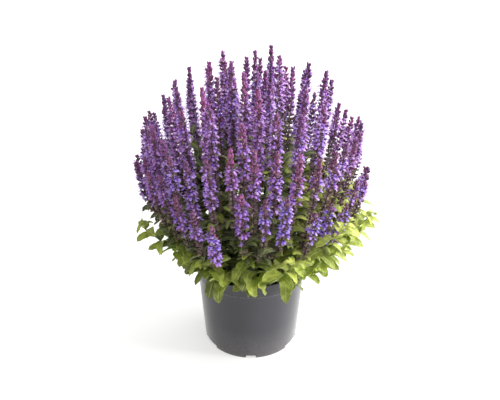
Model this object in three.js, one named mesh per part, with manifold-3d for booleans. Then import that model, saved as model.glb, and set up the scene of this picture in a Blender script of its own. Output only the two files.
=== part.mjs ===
// Perennial salvia in its nursery pot: a clump of leafy stems that fan out of the soil, each ending in a
// branched flowering top. Millimetres, +Z up, origin on the ground under the pot's centre.
//
//   pot                 tapered plastic pot with a band under its rim, a raised floor and a notched foot
//   soil                compost plug with a plain hole for each stem
//   stem_NN_leafy       the green part of a stem with its pairs of leaves
//   stem_NN_flowers     its flowering top: a middle spike and side spikes of florets on one branched axis

import * as THREE from "three";
import { mergeVertices } from "three/addons/utils/BufferGeometryUtils.js";
import Module from "manifold-3d";

const wasm = await Module();
wasm.setup();

// ---------------------------------------------------------------- driving dimensions

const GAP = 0.4; // between pieces
const LEAF_GAP = 0.6; // between a leaf and its neighbours

const POT = {
  height: 185,
  rimRadius: 115,
  footRadius: 100,
  bandHeight: 28,
  bandStep: 2.5, // by which the band stands out of the wall
  bandSlope: 1,
  rimBevel: 1,
  wall: 2,
  footWidth: 6,
  footTaper: 2,
  underFloor: 7,
  floorTop: 10,
  sides: 36,
  notches: 6,
  notchHeight: 6,
  notchWidths: [20, 46], // by turns round the foot
  drainRadius: 5,
  drainCircle: 74,
  drainSides: 6,
};

const SOIL = { top: 174, shoulder: 4, sideGap: 1, sides: 20, rings: [90, 50], bump: 2.5, holeMargin: 0.9 };

// The full dome over the pot that the tips of the spikes fill, and the lean of a spike on its edge.
const DOME = { top: 609, foot: 300, radius: 236, fullness: 2.8, lean: 0.16, leanCurve: 1.5 };

// sweep and lift say how far a stem leaves its foot outwards and upwards, as shares of its whole way,
// and upright how much of its height it grows with the lean of its tip.
const STEM = {
  rootDepth: 16,
  baseRadius: 3.4,
  topRadius: 2.4,
  segments: 3,
  sweep: 0.62,
  lift: 0.2,
  upright: 0.6,
  belowDome: 8,
};

// A branch leaves its stem along it by a share of its whole way, and away from it by a share of the way
// that it goes across. upright is the share of its height as for a stem.
const BRANCH = { firstJoint: 8, jointStep: 7, jointRadius: 0.95, along: 0.1, away: 0.85, upright: 0.95 };

// A spike is a stack of whorls of two florets, each turned crosswise to the next. The florets stand out
// by the whole radius where they are open, and by less in the spent whorls below and the buds above.
const SPIKE = {
  florets: 2,
  pitch: 20.5,
  crowding: 1.15, // of the whorls towards the top
  radius: 12,
  core: 0.6,
  rise: 4,
  axisRadius: 1.9,
  bareSegments: 2,
  neck: 5,
  tip: 6,
  open: 0.42,
  spent: 0.64,
  bud: 0.32,
  budCurve: 1.6,
};

// A blade is broad from its base on, and narrows to the tip.
const BLADE = {
  stations: 5,
  rib: 1.3,
  petiole: 0.9,
  root: 1.6,
  fold: 0.2,
  wave: 1.3,
  base: 0.2,
  fullness: 0.46,
};

// What differs from one stem, side spike or leaf to the next: by how much, and from which seed on.
const VARIETY = {
  stemAngle: { most: 0.05, seed: 0 },
  stemReach: { most: 6, seed: 100 },
  stemHeight: { most: 8, seed: 200 },
  stemSpike: { most: 0.08, seed: 900 },
  sideOut: { most: 3, seed: 311 },
  sideAside: { most: 3, seed: 400 },
  sideHeight: { most: 7, seed: 500 },
  sideSpike: { most: 0.1, seed: 1200 },
  leafAngle: { most: 0.35, seed: 600 },
  leafReach: { most: 0.2, seed: 700 },
  leafRise: { most: 5, seed: 1000 },
  leafDrop: { most: 14, seed: 800 },
};
const LEAF_STAGGER = 0.05; // up or down the stem, by turns from one stem to the next
const NOISE = { step: 12.9898, start: 4.1414, scale: 43758.5453 };

// The ways of a pair's two leaves, as angles from the way out of the clump: both turn to the light.
const WIDE = [1.15, -1.15];
const HALFWAY = [0.75, -0.75];
const NARROW = [0.42, -0.42];

// Rings of stems from the middle outwards. base and reach are the distances of a stem's foot and tip from
// the pot's axis, and green is the leafy share of its length. A side spike's tip lies aside of the
// stem's own along the ring, farther out, and lower. Of a pair of leaves, up is its place on the
// green part, crest where the midrib is highest, and rise and drop the heights of crest and tip.
const RINGS = [
  {
    count: 1, turn: 0.3, base: 0, reach: 5, green: 0.46, spike: 185,
    sides: [{ aside: 28, out: -4, lower: 20, spike: 155 }, { aside: -27, out: 6, lower: 32, spike: 145 }],
    pairs: [{ ways: WIDE, up: 0.9, reach: 30, width: 14, crest: 0.5, rise: 9, drop: 4 }],
  },
  {
    count: 4, turn: 0.6, base: 22, reach: 64, green: 0.46, spike: 185,
    sides: [{ aside: 31, out: 9, lower: 22, spike: 155 }, { aside: -31, out: 4, lower: 34, spike: 145 }],
    pairs: [{ ways: WIDE, up: 0.9, reach: 32, width: 14, crest: 0.5, rise: 9, drop: 4 }],
  },
  {
    count: 9, turn: 0.1, base: 46, reach: 134, green: 0.42, spike: 180,
    sides: [{ aside: 29, out: 14, lower: 20, spike: 150 }, { aside: -29, out: 22, lower: 28, spike: 140 }],
    pairs: [{ ways: NARROW, up: 0.85, reach: 44, width: 18, crest: 0.5, rise: 12, drop: 8 }],
  },
  {
    count: 12, turn: 0, base: 70, reach: 200, green: 0.34, spike: 130,
    sides: [
      { aside: 17, out: 15, lower: 32, spike: 84 },
      { aside: -18, out: 15, lower: 36, spike: 98 },
      { aside: 52, out: 13, lower: 26, spike: 88 },
      { aside: 35, out: -4, lower: 12, spike: 112 },
      { aside: -35, out: -4, lower: 6, spike: 110 },
    ],
    pairs: [
      { ways: WIDE, up: 0.26, reach: 36, width: 24, crest: 0.5, rise: 15, drop: 2 },
      { ways: NARROW, up: 0.54, reach: 42, width: 25, crest: 0.6, rise: 18, drop: 18 },
      { ways: HALFWAY, up: 0.92, reach: 48, width: 24, crest: 0.5, rise: 17, drop: 8 },
    ],
  },
];

// A leaf that would meet a neighbour is turned aside or lifted, and left out where nothing clears it.
const BENDS = [
  { turn: 0, lift: 0 },
  { turn: 0.3, lift: 4 },
  { turn: -0.3, lift: 4 },
  { turn: 0.6, lift: 9 },
  { turn: -0.6, lift: 9 },
];

// ---------------------------------------------------------------- small tools

const UP = new THREE.Vector3(0, 0, 1);
const { lerp } = THREE.MathUtils;

const heading = (angle) => new THREE.Vector3(Math.cos(angle), Math.sin(angle), 0);

// A repeatable difference of one kind for a whole number.
function vary({ most, seed }, number) {
  const noise = Math.sin((number + seed) * NOISE.step + NOISE.start) * NOISE.scale;
  return most * (2 * (noise - Math.floor(noise)) - 1);
}

function solidOf(geometry) {
  const bare = geometry.clone();
  bare.deleteAttribute("normal");
  bare.deleteAttribute("uv");
  const merged = mergeVertices(bare, 1e-3);
  const mesh = new wasm.Mesh({
    numProp: 3,
    vertProperties: new Float32Array(merged.attributes.position.array),
    triVerts: new Uint32Array(merged.index.array),
  });
  return new wasm.Manifold(mesh);
}

function geometryOf(positions, triangles) {
  const geometry = new THREE.BufferGeometry();
  geometry.setAttribute("position", new THREE.Float32BufferAttribute(positions, 3));
  geometry.setIndex(triangles);
  return geometry;
}

// The solid inside a skin over rings of points, which all have as many points and turn
// counter-clockwise about the way that the rings go. The last ring closes on the tip, where there is
// one. slant(ring, point) says by which diagonal a quad is split.
function loft(rings, { tip = null, slant = () => true } = {}) {
  const size = rings[0].length;
  const points = tip ? [...rings.flat(), tip] : rings.flat();
  const at = (ring, point) => ring * size + (point % size);
  const triangles = [];
  for (let i = 0; i + 1 < rings.length; i++) {
    for (let j = 0; j < size; j++) {
      const [a, b, c, d] = [at(i, j), at(i, j + 1), at(i + 1, j + 1), at(i + 1, j)];
      triangles.push(...(slant(i, j) ? [a, b, c, a, c, d] : [a, b, d, b, c, d]));
    }
  }
  const last = rings.length - 1;
  for (let j = 1; j + 1 < size; j++) {
    triangles.push(at(0, 0), at(0, j + 1), at(0, j));
    if (!tip) triangles.push(at(last, 0), at(last, j), at(last, j + 1));
  }
  for (let j = 0; tip && j < size; j++) triangles.push(points.length - 1, at(last, j), at(last, j + 1));
  return solidOf(geometryOf(points.flatMap((p) => [p.x, p.y, p.z]), triangles));
}

// The place at a distance along a curve, with two directions across it: the one nearest to a wanted
// way, and the one square to that.
function placeOn(curve, distance, wanted) {
  const share = distance / curve.getLength();
  const along = curve.getTangentAt(share);
  const out = wanted.clone().projectOnPlane(along).normalize();
  return { point: curve.getPointAt(share), along, out, aside: along.clone().cross(out) };
}

// A ring of points about a place, each given as its distance from the curve and its rise along it.
function ringOf(place, spokes, turn = 0) {
  return spokes.map(([radius, rise], j) => {
    const angle = turn + (j / spokes.length) * 2 * Math.PI;
    return place.point
      .clone()
      .addScaledVector(place.out, radius * Math.cos(angle))
      .addScaledVector(place.aside, radius * Math.sin(angle))
      .addScaledVector(place.along, rise);
  });
}

// ---------------------------------------------------------------- pot and soil

// The outer radius of the wall, which goes on straight behind the band.
const wallRadius = (z) => lerp(POT.footRadius, POT.rimRadius - POT.bandStep, z / POT.height);

function makePot() {
  const { height, rimRadius, rimBevel, bandStep, footRadius, footWidth, underFloor, floorTop } = POT;
  const bandFoot = height - POT.bandHeight;
  const profile = [
    [0, underFloor],
    [footRadius - footWidth - POT.footTaper, underFloor],
    [footRadius - footWidth, 0],
    [footRadius, 0],
    [wallRadius(bandFoot), bandFoot],
    [wallRadius(bandFoot) + bandStep, bandFoot + POT.bandSlope],
    [rimRadius, height - rimBevel],
    [rimRadius - rimBevel, height],
    [rimRadius - bandStep, height - rimBevel],
    [wallRadius(floorTop) - POT.wall, floorTop],
    [0, floorTop],
  ];
  const outline = profile.map(([radius, z]) => new THREE.Vector2(radius, z));
  const body = solidOf(new THREE.LatheGeometry(outline, POT.sides).rotateX(Math.PI / 2));
  return Array.from({ length: POT.notches }, (_, i) => i).reduce(cutFoot, body);
}

// A notch through the foot and, behind each wide one, a drain hole through the floor.
function cutFoot(pot, i) {
  const angle = (i / POT.notches) * 2 * Math.PI - Math.PI / 2;
  const notch = new THREE.BoxGeometry(4 * POT.footWidth, POT.notchWidths[i % 2], 2 * POT.notchHeight);
  const notched = pot.subtract(solidOf(notch.translate(POT.footRadius, 0, 0).rotateZ(angle)));
  if (i % 2 === 0) return notched;
  const { drainRadius, drainSides, floorTop } = POT;
  const drain = new THREE.CylinderGeometry(drainRadius, drainRadius, 3 * floorTop, drainSides);
  drain.rotateX(Math.PI / 2).translate(POT.drainCircle, 0, 0).rotateZ(angle);
  return notched.subtract(solidOf(drain));
}

function makeSoil(stems) {
  const { top, shoulder, sides, rings, bump } = SOIL;
  const level = (radius, z, rough) =>
    Array.from({ length: sides }, (_, j) => {
      const angle = (j / sides) * 2 * Math.PI;
      const lump = rough * Math.sin(radius + 3 * angle) * Math.cos(radius - 5 * angle);
      return heading(angle).multiplyScalar(radius).setZ(z + lump);
    });
  const side = (z) => level(wallRadius(z) - POT.wall - SOIL.sideGap, z, 0);
  const skin = [
    side(POT.floorTop + GAP),
    side(top - shoulder),
    ...rings.map((radius) => level(radius, top, bump)),
  ];
  const plug = loft(skin, { tip: new THREE.Vector3(0, 0, top) });
  const radius = STEM.baseRadius + SOIL.holeMargin;
  const hole = (stem) => makeStalk(stem, 0, greenLength(stem) / STEM.segments, [radius, radius], 1);
  return stems.reduce((soil, stem) => soil.subtract(hole(stem)), plug);
}

// ---------------------------------------------------------------- how the clump grows

function domeHeight(radius) {
  const share = Math.min(radius / DOME.radius, 1) ** DOME.fullness;
  return lerp(DOME.foot, DOME.top, Math.sqrt(1 - share));
}

// The curve of a stem or branch: it leaves its foot by the first handle, and comes up under the dome
// on to its tip at x, y with the lean of its distance out.
function growAxis(foot, handle, x, y, lower, upright) {
  const radius = Math.hypot(x, y);
  const tip = new THREE.Vector3(x, y, domeHeight(radius) - lower);
  const lean = DOME.lean * (radius / DOME.radius) ** DOME.leanCurve;
  const along = heading(Math.atan2(y, x)).multiplyScalar(Math.sin(lean)).setZ(Math.cos(lean));
  const below = tip.clone().addScaledVector(along, -upright * (tip.z - foot.z));
  return new THREE.CubicBezierCurve3(foot, handle(tip), below, tip);
}

function growStem(ring, i, number) {
  const step = (2 * Math.PI) / ring.count;
  const angle = (i + ring.turn) * step - Math.PI / 2 + vary(VARIETY.stemAngle, number);
  const out = heading(angle);
  const foot = out.clone().multiplyScalar(ring.base).setZ(SOIL.top - STEM.rootDepth);
  const reach = ring.reach + vary(VARIETY.stemReach, number);
  const lower = STEM.belowDome + vary(VARIETY.stemHeight, number);
  const handle = (tip) =>
    foot
      .clone()
      .addScaledVector(out, STEM.sweep * (reach - ring.base))
      .addScaledVector(UP, STEM.lift * (tip.z - foot.z));
  const axis = growAxis(foot, handle, reach * out.x, reach * out.y, lower, STEM.upright);
  const start = greenLength({ ring, axis }) + GAP;
  const spike = ring.spike * (1 + vary(VARIETY.stemSpike, number));
  return { number, ring, angle, out, reach, axis, start, foot: SPIKE.axisRadius, spike };
}

const greenLength = ({ ring, axis }) => ring.green * axis.getLength();

// The branch under a side spike, which leaves the stem a little above its green part.
function growBranch(stem, side, i) {
  const seed = stem.number * 7 + i;
  const alongRing = heading(stem.angle + Math.PI / 2);
  const tip = stem.out
    .clone()
    .multiplyScalar(stem.reach + side.out + vary(VARIETY.sideOut, seed))
    .addScaledVector(alongRing, side.aside + vary(VARIETY.sideAside, seed));
  const joint = placeOn(stem.axis, stem.start + BRANCH.firstJoint + BRANCH.jointStep * i, stem.out);
  const handle = (end) => {
    const way = end.clone().sub(joint.point);
    const away = way.clone().projectOnPlane(joint.along);
    return joint.point
      .clone()
      .addScaledVector(joint.along, BRANCH.along * way.length())
      .addScaledVector(away, BRANCH.away);
  };
  const lower = side.lower + vary(VARIETY.sideHeight, seed);
  const axis = growAxis(joint.point, handle, tip.x, tip.y, lower, BRANCH.upright);
  const spike = side.spike * (1 + vary(VARIETY.sideSpike, seed));
  return { out: stem.out, axis, start: 0, foot: BRANCH.jointRadius, spike };
}

const stems = RINGS.flatMap((ring) => Array(ring.count).fill(ring)).map((ring, k, all) =>
  growStem(ring, k - all.indexOf(ring), k + 1),
);

// ---------------------------------------------------------------- flowering tops

// How far the florets stand out at a share of the spike.
function floretRadius(share) {
  const { open, spent, bud, budCurve, radius } = SPIKE;
  if (share < open) return radius * lerp(1, spent, (1 - share / open) ** 2);
  return radius * lerp(1, bud, ((share - open) / (1 - open)) ** budCurve);
}

// A spike on its stretch of bare axis. In a whorl the florets' points stand out of the core and the next
// whorl's stand between them, so with the quads split core to core every floret is a pyramid.
function makeSpike({ axis, out, start, foot, spike }) {
  const first = axis.getLength() - spike;
  const spokes = 2 * SPIKE.florets;
  const whorls = Math.round(spike / SPIKE.pitch);
  const bare = Array.from({ length: SPIKE.bareSegments + 1 }, (_, i) => {
    const share = i / SPIKE.bareSegments;
    const place = placeOn(axis, lerp(start, first - SPIKE.neck, share), out);
    return ringOf(place, Array(spokes).fill([lerp(foot, SPIKE.axisRadius, share), 0]));
  });
  const florets = Array.from({ length: whorls }, (_, k) => {
    const share = k / (whorls - 1);
    const radius = floretRadius(share);
    const distance = first + (spike - SPIKE.tip) * (1 - (1 - share) ** SPIKE.crowding);
    const point = [radius, SPIKE.rise * (1 - share / 2)];
    const core = [SPIKE.core * radius, 0];
    const star = Array.from({ length: spokes }, (_, j) => ((j + k) % 2 ? core : point));
    return ringOf(placeOn(axis, distance, out), star);
  });
  return loft([...bare, ...florets], {
    tip: axis.getPoint(1),
    slant: (i, j) => (i - bare.length + j) % 2 !== 0,
  });
}

function makeFlowers(stem) {
  return stem.ring.sides
    .map((side, i) => makeSpike(growBranch(stem, side, i)))
    .reduce((top, branch) => top.add(branch), makeSpike(stem));
}

// ---------------------------------------------------------------- leafy stems

// A square stalk along a stretch of a stem.
function makeStalk({ axis, out }, from, to, [baseRadius, topRadius], segments) {
  const rings = Array.from({ length: segments + 1 }, (_, i) => {
    const share = i / segments;
    const corner = [lerp(baseRadius, topRadius, share), 0];
    return ringOf(placeOn(axis, lerp(from, to, share), out), Array(4).fill(corner), Math.PI / 4);
  });
  return loft(rings);
}

// The width of a blade at a share of its length, against its widest.
const bladeShape = (share) => Math.sin(Math.PI * lerp(BLADE.base, 1, share)) ** BLADE.fullness;

// A leaf on an arched midrib, four points to a station: a blade folded up along its rib, with a waved
// edge. margin makes it larger all over.
function makeLeaf(leaf, margin = 0) {
  const { from, angle, reach, width, crest, rise, drop } = leaf;
  const out = heading(angle);
  const across = UP.clone().cross(out);
  const rib = new THREE.QuadraticBezierCurve3(
    from,
    from.clone().addScaledVector(out, crest * reach).addScaledVector(UP, rise),
    from.clone().addScaledVector(out, reach).addScaledVector(UP, -drop),
  );
  const rings = Array.from({ length: BLADE.stations }, (_, i) => {
    const share = i / BLADE.stations;
    const { point, along } = placeOn(rib, share * rib.getLength(), UP);
    const over = along.clone().cross(across);
    const half = i ? (width / 2) * bladeShape(share) : BLADE.petiole;
    const fold = BLADE.fold * half;
    const wave = i ? BLADE.wave * (i % 2 ? 1 : -1) : 0;
    const edge = half + margin;
    const thick = BLADE.rib / 2 + margin;
    const spot = (sideways, height) =>
      point.clone().addScaledVector(across, sideways).addScaledVector(over, height);
    return [spot(edge, fold + wave), spot(0, thick), spot(-edge, fold - wave), spot(0, -thick)];
  });
  const tip = rib.getPoint(1).addScaledVector(rib.getTangent(1), margin);
  return loft(rings, { tip, slant: (i, j) => j % 2 === 0 });
}

// The leaf of a pair at one of its ways, bent by one of the bends.
function placeLeaf(stem, pair, k, side, bend) {
  const seed = stem.number * 17 + k * 2 + side;
  const up = pair.up + LEAF_STAGGER * (stem.number % 2 ? 1 : -1);
  const angle = stem.angle + pair.ways[side] + vary(VARIETY.leafAngle, seed) + bend.turn;
  const { point } = placeOn(stem.axis, up * greenLength(stem), stem.out);
  return {
    ...pair,
    from: point.addScaledVector(heading(angle), BLADE.root),
    angle,
    reach: pair.reach * (1 + vary(VARIETY.leafReach, seed)),
    rise: pair.rise + vary(VARIETY.leafRise, seed) + bend.lift,
    drop: pair.drop + vary(VARIETY.leafDrop, seed) - bend.lift,
  };
}

const meets = (solid, others) => others.some((other) => !solid.intersect(other).isEmpty());

const makeGreenStalk = (stem) =>
  makeStalk(stem, GAP, greenLength(stem), [STEM.baseRadius, STEM.topRadius], STEM.segments);

function addLeaves(stalk, stem, others) {
  let leafy = stalk;
  stem.ring.pairs.forEach((pair, k) => {
    for (const side of [0, 1]) {
      const bends = BENDS.map((bend) => placeLeaf(stem, pair, k, side, bend));
      const leaf = bends.find((bent) => !meets(makeLeaf(bent, LEAF_GAP), others));
      if (leaf) leafy = leafy.add(makeLeaf(leaf));
    }
  });
  return leafy;
}

// ---------------------------------------------------------------- the plant in its pot

const finishes = {
  pot: new THREE.MeshStandardMaterial({ color: 0x4a4b50, roughness: 0.4, metalness: 0 }),
  soil: new THREE.MeshStandardMaterial({ color: 0x1d1713, roughness: 0.95, metalness: 0 }),
  leafy: new THREE.MeshStandardMaterial({ color: 0x8fa93c, roughness: 0.6, metalness: 0 }),
  flowers: new THREE.MeshStandardMaterial({ color: 0x6f42b4, roughness: 0.7, metalness: 0 }),
};

function addPiece(group, name, solid, finish) {
  const { vertProperties, triVerts } = solid.getMesh();
  const geometry = geometryOf(Array.from(vertProperties), Array.from(triVerts));
  geometry.computeVertexNormals();
  const piece = new THREE.Mesh(geometry, finish);
  piece.name = name;
  group.add(piece);
}

const plant = new THREE.Group();
const pot = makePot();
const soil = makeSoil(stems);
addPiece(plant, "pot", pot, finishes.pot);
addPiece(plant, "soil", soil, finishes.soil);

const tops = stems.map(makeFlowers);
const greens = stems.map(makeGreenStalk);
stems.forEach((stem, i) => {
  const others = [pot, soil, ...tops, ...greens.toSpliced(i, 1)];
  greens[i] = addLeaves(greens[i], stem, others);
  const name = `stem_${String(stem.number).padStart(2, "0")}`;
  addPiece(plant, `${name}_leafy`, greens[i], finishes.leafy);
  addPiece(plant, `${name}_flowers`, tops[i], finishes.flowers);
});

export default plant;
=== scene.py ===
"""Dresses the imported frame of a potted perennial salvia: pot, soil, leafy stems, flowers and a stage."""

import math

import bmesh
import bpy
import numpy as np
from bpy.props import FloatProperty, FloatVectorProperty, IntProperty, PointerProperty
from bpy.types import Operator, Panel, PropertyGroup
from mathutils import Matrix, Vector, kdtree, noise


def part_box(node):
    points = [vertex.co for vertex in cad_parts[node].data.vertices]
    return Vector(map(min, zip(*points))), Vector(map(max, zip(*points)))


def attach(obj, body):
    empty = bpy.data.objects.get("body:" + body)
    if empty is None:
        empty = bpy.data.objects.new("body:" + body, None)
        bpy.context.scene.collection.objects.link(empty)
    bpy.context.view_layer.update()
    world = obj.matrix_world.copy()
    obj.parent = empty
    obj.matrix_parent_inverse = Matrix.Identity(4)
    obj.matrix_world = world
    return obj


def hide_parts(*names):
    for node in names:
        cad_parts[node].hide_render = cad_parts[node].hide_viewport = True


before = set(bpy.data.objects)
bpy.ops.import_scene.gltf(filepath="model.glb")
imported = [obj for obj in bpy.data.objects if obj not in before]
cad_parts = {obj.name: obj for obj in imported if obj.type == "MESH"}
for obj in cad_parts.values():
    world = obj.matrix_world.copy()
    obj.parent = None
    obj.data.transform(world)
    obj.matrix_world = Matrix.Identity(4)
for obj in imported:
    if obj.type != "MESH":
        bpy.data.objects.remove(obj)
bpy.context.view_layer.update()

bl_info = {
    "name": "Potted perennial salvia",
    "version": (1, 0, 0),
    "blender": (4, 5, 0),
    "location": "3D Viewport > Sidebar > Salvia",
    "description": "Builds the looks of a flowering salvia in its nursery pot around its packed frame",
    "category": "Object",
}

MM = 0.001
TAU = 2 * math.pi
UP = np.array([0.0, 0.0, 1.0])

# ---------------------------------------------------------------- how the clump grows, in millimetres

SOIL_TOP = 174
DOME = {"top": 609, "foot": 300, "radius": 236, "fullness": 2.8, "lean": 0.16, "lean_curve": 1.5}
STEM = {
    "root_depth": 16,
    "base_radius": 3.4,
    "top_radius": 2.4,
    "sweep": 0.62,
    "lift": 0.2,
    "upright": 0.6,
    "below_dome": 8,
}
BRANCH = {"first_joint": 8, "joint_step": 7, "along": 0.1, "away": 0.85, "upright": 0.95}
GAP = 0.4  # between the green part of a stem and its flowering top
LEAF_ROOT = 1.6  # from the middle of a stem to the foot of a leaf
LEAF_STAGGER = 0.05  # by which odd stems bear their leaves higher and even ones lower

WIDE = (1.15, -1.15)
HALFWAY = (0.75, -0.75)
NARROW = (0.42, -0.42)


def ring_of_stems(count, turn, base, reach, green, spike, sides, pairs, more):
    """A ring of stems, its side spikes as (aside, out, lower, spike), its pairs of leaves as
    (ways, up, reach, width, crest, rise, drop), and the places of the small pairs between them."""
    side_keys = ("aside", "out", "lower", "spike")
    pair_keys = ("ways", "up", "reach", "width", "crest", "rise", "drop")
    return {
        "count": count,
        "turn": turn,
        "base": base,
        "reach": reach,
        "green": green,
        "spike": spike,
        "sides": [dict(zip(side_keys, side)) for side in sides],
        "pairs": [dict(zip(pair_keys, pair)) for pair in pairs],
        "more": more,
    }


RINGS = (
    ring_of_stems(1, 0.3, 0, 5, 0.46, 185, [(28, -4, 20, 155), (-27, 6, 32, 145)],
                  [(WIDE, 0.9, 30, 14, 0.5, 9, 4)], (0.2, 0.32, 0.44, 0.56, 0.68, 0.8)),
    ring_of_stems(4, 0.6, 22, 64, 0.46, 185, [(31, 9, 22, 155), (-31, 4, 34, 145)],
                  [(WIDE, 0.9, 32, 14, 0.5, 9, 4)], (0.2, 0.32, 0.44, 0.56, 0.68, 0.8)),
    ring_of_stems(9, 0.1, 46, 134, 0.42, 180, [(29, 14, 20, 150), (-29, 22, 28, 140)],
                  [(NARROW, 0.85, 44, 18, 0.5, 12, 8)], (0.2, 0.33, 0.46, 0.6, 0.73, 0.95)),
    ring_of_stems(12, 0, 70, 200, 0.34, 130,
                  [(17, 15, 32, 84), (-18, 15, 36, 98), (52, 13, 26, 88), (35, -4, 12, 112),
                   (-35, -4, 6, 110)],
                  [(WIDE, 0.26, 36, 24, 0.5, 15, 2), (NARROW, 0.54, 42, 25, 0.6, 18, 18),
                   (HALFWAY, 0.92, 48, 24, 0.5, 17, 8)], (0.4, 0.7, 0.8)),
)

BENDS = ((0, 0), (0.3, 4), (-0.3, 4), (0.6, 9), (-0.6, 9))  # turn and lift of a leaf round a neighbour
TIP_MATCH = 0.1  # within which the tip of a leaf is found in the frame

# By how much stems, side spikes and leaves differ, and from which seed on.
VARIETY = {
    "stem_angle": (0.05, 0),
    "stem_reach": (6, 100),
    "stem_height": (8, 200),
    "stem_spike": (0.08, 900),
    "side_out": (3, 311),
    "side_aside": (3, 400),
    "side_height": (7, 500),
    "side_spike": (0.1, 1200),
    "leaf_angle": (0.35, 600),
    "leaf_reach": (0.2, 700),
    "leaf_rise": (5, 1000),
    "leaf_drop": (14, 800),
}

# The seeds that a stem has for things of one kind, one after another, stand this far from the next stem's.
SEED_STEPS = {
    "side spike": 7,
    "leaf": 17,
    "shoot": 23,
    "inner shoot": 29,
    "leaf at joint": 41,
    "leaf between": 61,
    "spike": 100,
    "bracts": 10,
}

CURVE_STEPS = 201
CURVE_NUDGE = 1e-4  # share of a curve over which its direction is taken


def draw(number):
    """A repeatable draw between -1 and 1 for a whole number."""
    value = math.sin(number * 12.9898 + 4.1414) * 43758.5453
    return 2 * (value - math.floor(value)) - 1


def vary(kind, number):
    """A repeatable difference of one kind for a whole number."""
    most, seed = VARIETY[kind]
    return most * draw(number + seed)


def seed_of(stem, kind, place=0):
    """The seed of a stem's thing of one kind at one place."""
    return stem["number"] * SEED_STEPS[kind] + place


def lerp(a, b, share):
    """The value at a share of the way from a to b."""
    return a + (b - a) * share


def smooth(low, high, value):
    """0 below low, 1 above high, and an even change between."""
    share = np.clip((value - low) / (high - low), 0, 1)
    return share * share * (3 - 2 * share)


def heading(angle):
    """The level unit vector at an angle from +X."""
    return np.array([math.cos(angle), math.sin(angle), 0.0])


def round_circle(count):
    """Even angles round a circle."""
    return np.arange(count) / count * TAU


def unit(vectors):
    """Vectors at length 1."""
    return vectors / np.linalg.norm(vectors, axis=-1, keepdims=True)


def raised(values, power):
    """Values raised to a power, worked out in place. A result that lies right behind its input in memory can
    end in other digits, which would differ from run to run."""
    values = np.array(values, float)
    values **= power
    return values


class Curve:
    """A Bezier curve that is read by the distance along it."""

    def __init__(self, *controls):
        self.controls = np.array(controls, float)
        self.shares = np.linspace(0, 1, CURVE_STEPS)
        chords = np.diff(self.at(self.shares), axis=0)
        self.travel = np.concatenate([[0], np.cumsum(np.linalg.norm(chords, axis=1))])
        self.length = self.travel[-1]

    def at(self, shares):
        """The points at shares of the parameter."""
        degree = len(self.controls) - 1
        shares = np.asarray(shares, float)[..., None]
        return sum(
            math.comb(degree, i) * raised(shares, i) * raised(1 - shares, degree - i) * control
            for i, control in enumerate(self.controls)
        )

    def places(self, distances, wanted):
        """Points at distances, the way along the curve, and two ways across it."""
        shares = np.interp(distances, self.travel, self.shares)
        points = self.at(shares)
        after, before = (self.at(np.clip(shares + step, 0, 1)) for step in (CURVE_NUDGE, -CURVE_NUDGE))
        along = unit(after - before)
        out = unit(wanted - np.sum(wanted * along, axis=-1, keepdims=True) * along)
        return points, along, out, np.cross(along, out)


def dome_height(radius):
    """The height of the dome of spike tips at a distance from the pot's axis."""
    share = min(radius / DOME["radius"], 1) ** DOME["fullness"]
    return lerp(DOME["foot"], DOME["top"], math.sqrt(1 - share))


def grow_axis(foot, handle, x, y, lower, upright):
    """The curve of a stem or branch on to its tip at x, y under the dome."""
    radius = math.hypot(x, y)
    tip = np.array([x, y, dome_height(radius) - lower])
    lean = DOME["lean"] * (radius / DOME["radius"]) ** DOME["lean_curve"]
    along = heading(math.atan2(y, x)) * math.sin(lean) + UP * math.cos(lean)
    below = tip - along * upright * (tip[2] - foot[2])
    return Curve(foot, handle(tip), below, tip)


def grow_stem(ring, i, number):
    """A main stem: its curve, the length of its green part and its middle spike."""
    angle = (i + ring["turn"]) * TAU / ring["count"] - math.pi / 2 + vary("stem_angle", number)
    out = heading(angle)
    foot = out * ring["base"] + UP * (SOIL_TOP - STEM["root_depth"])
    reach = ring["reach"] + vary("stem_reach", number)
    lower = STEM["below_dome"] + vary("stem_height", number)

    def handle(tip):
        return foot + out * STEM["sweep"] * (reach - ring["base"]) + UP * STEM["lift"] * (tip[2] - foot[2])

    axis = grow_axis(foot, handle, reach * out[0], reach * out[1], lower, STEM["upright"])
    green = ring["green"] * axis.length
    spike = ring["spike"] * (1 + vary("stem_spike", number))
    return {"number": number, "ring": ring, "angle": angle, "out": out, "reach": reach, "axis": axis,
            "green": green, "start": green, "spike": spike}


def side_joint(stem, i):
    """How far up its stem a side spike leaves it."""
    return stem["green"] + GAP + BRANCH["first_joint"] + BRANCH["joint_step"] * i


def grow_branch(stem, side, i):
    """The branch under a side spike."""
    seed = seed_of(stem, "side spike", i)
    along_ring = heading(stem["angle"] + math.pi / 2)
    tip = stem["out"] * (stem["reach"] + side["out"] + vary("side_out", seed))
    tip = tip + along_ring * (side["aside"] + vary("side_aside", seed))
    joint, along, _, _ = stem["axis"].places(side_joint(stem, i), stem["out"])

    def handle(end):
        way = end - joint
        away = way - np.dot(way, along) * along
        return joint + along * BRANCH["along"] * np.linalg.norm(way) + away * BRANCH["away"]

    lower = side["lower"] + vary("side_height", seed)
    axis = grow_axis(joint, handle, tip[0], tip[1], lower, BRANCH["upright"])
    spike = side["spike"] * (1 + vary("side_spike", seed))
    return {"out": stem["out"], "axis": axis, "start": 0.0, "spike": spike}


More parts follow.
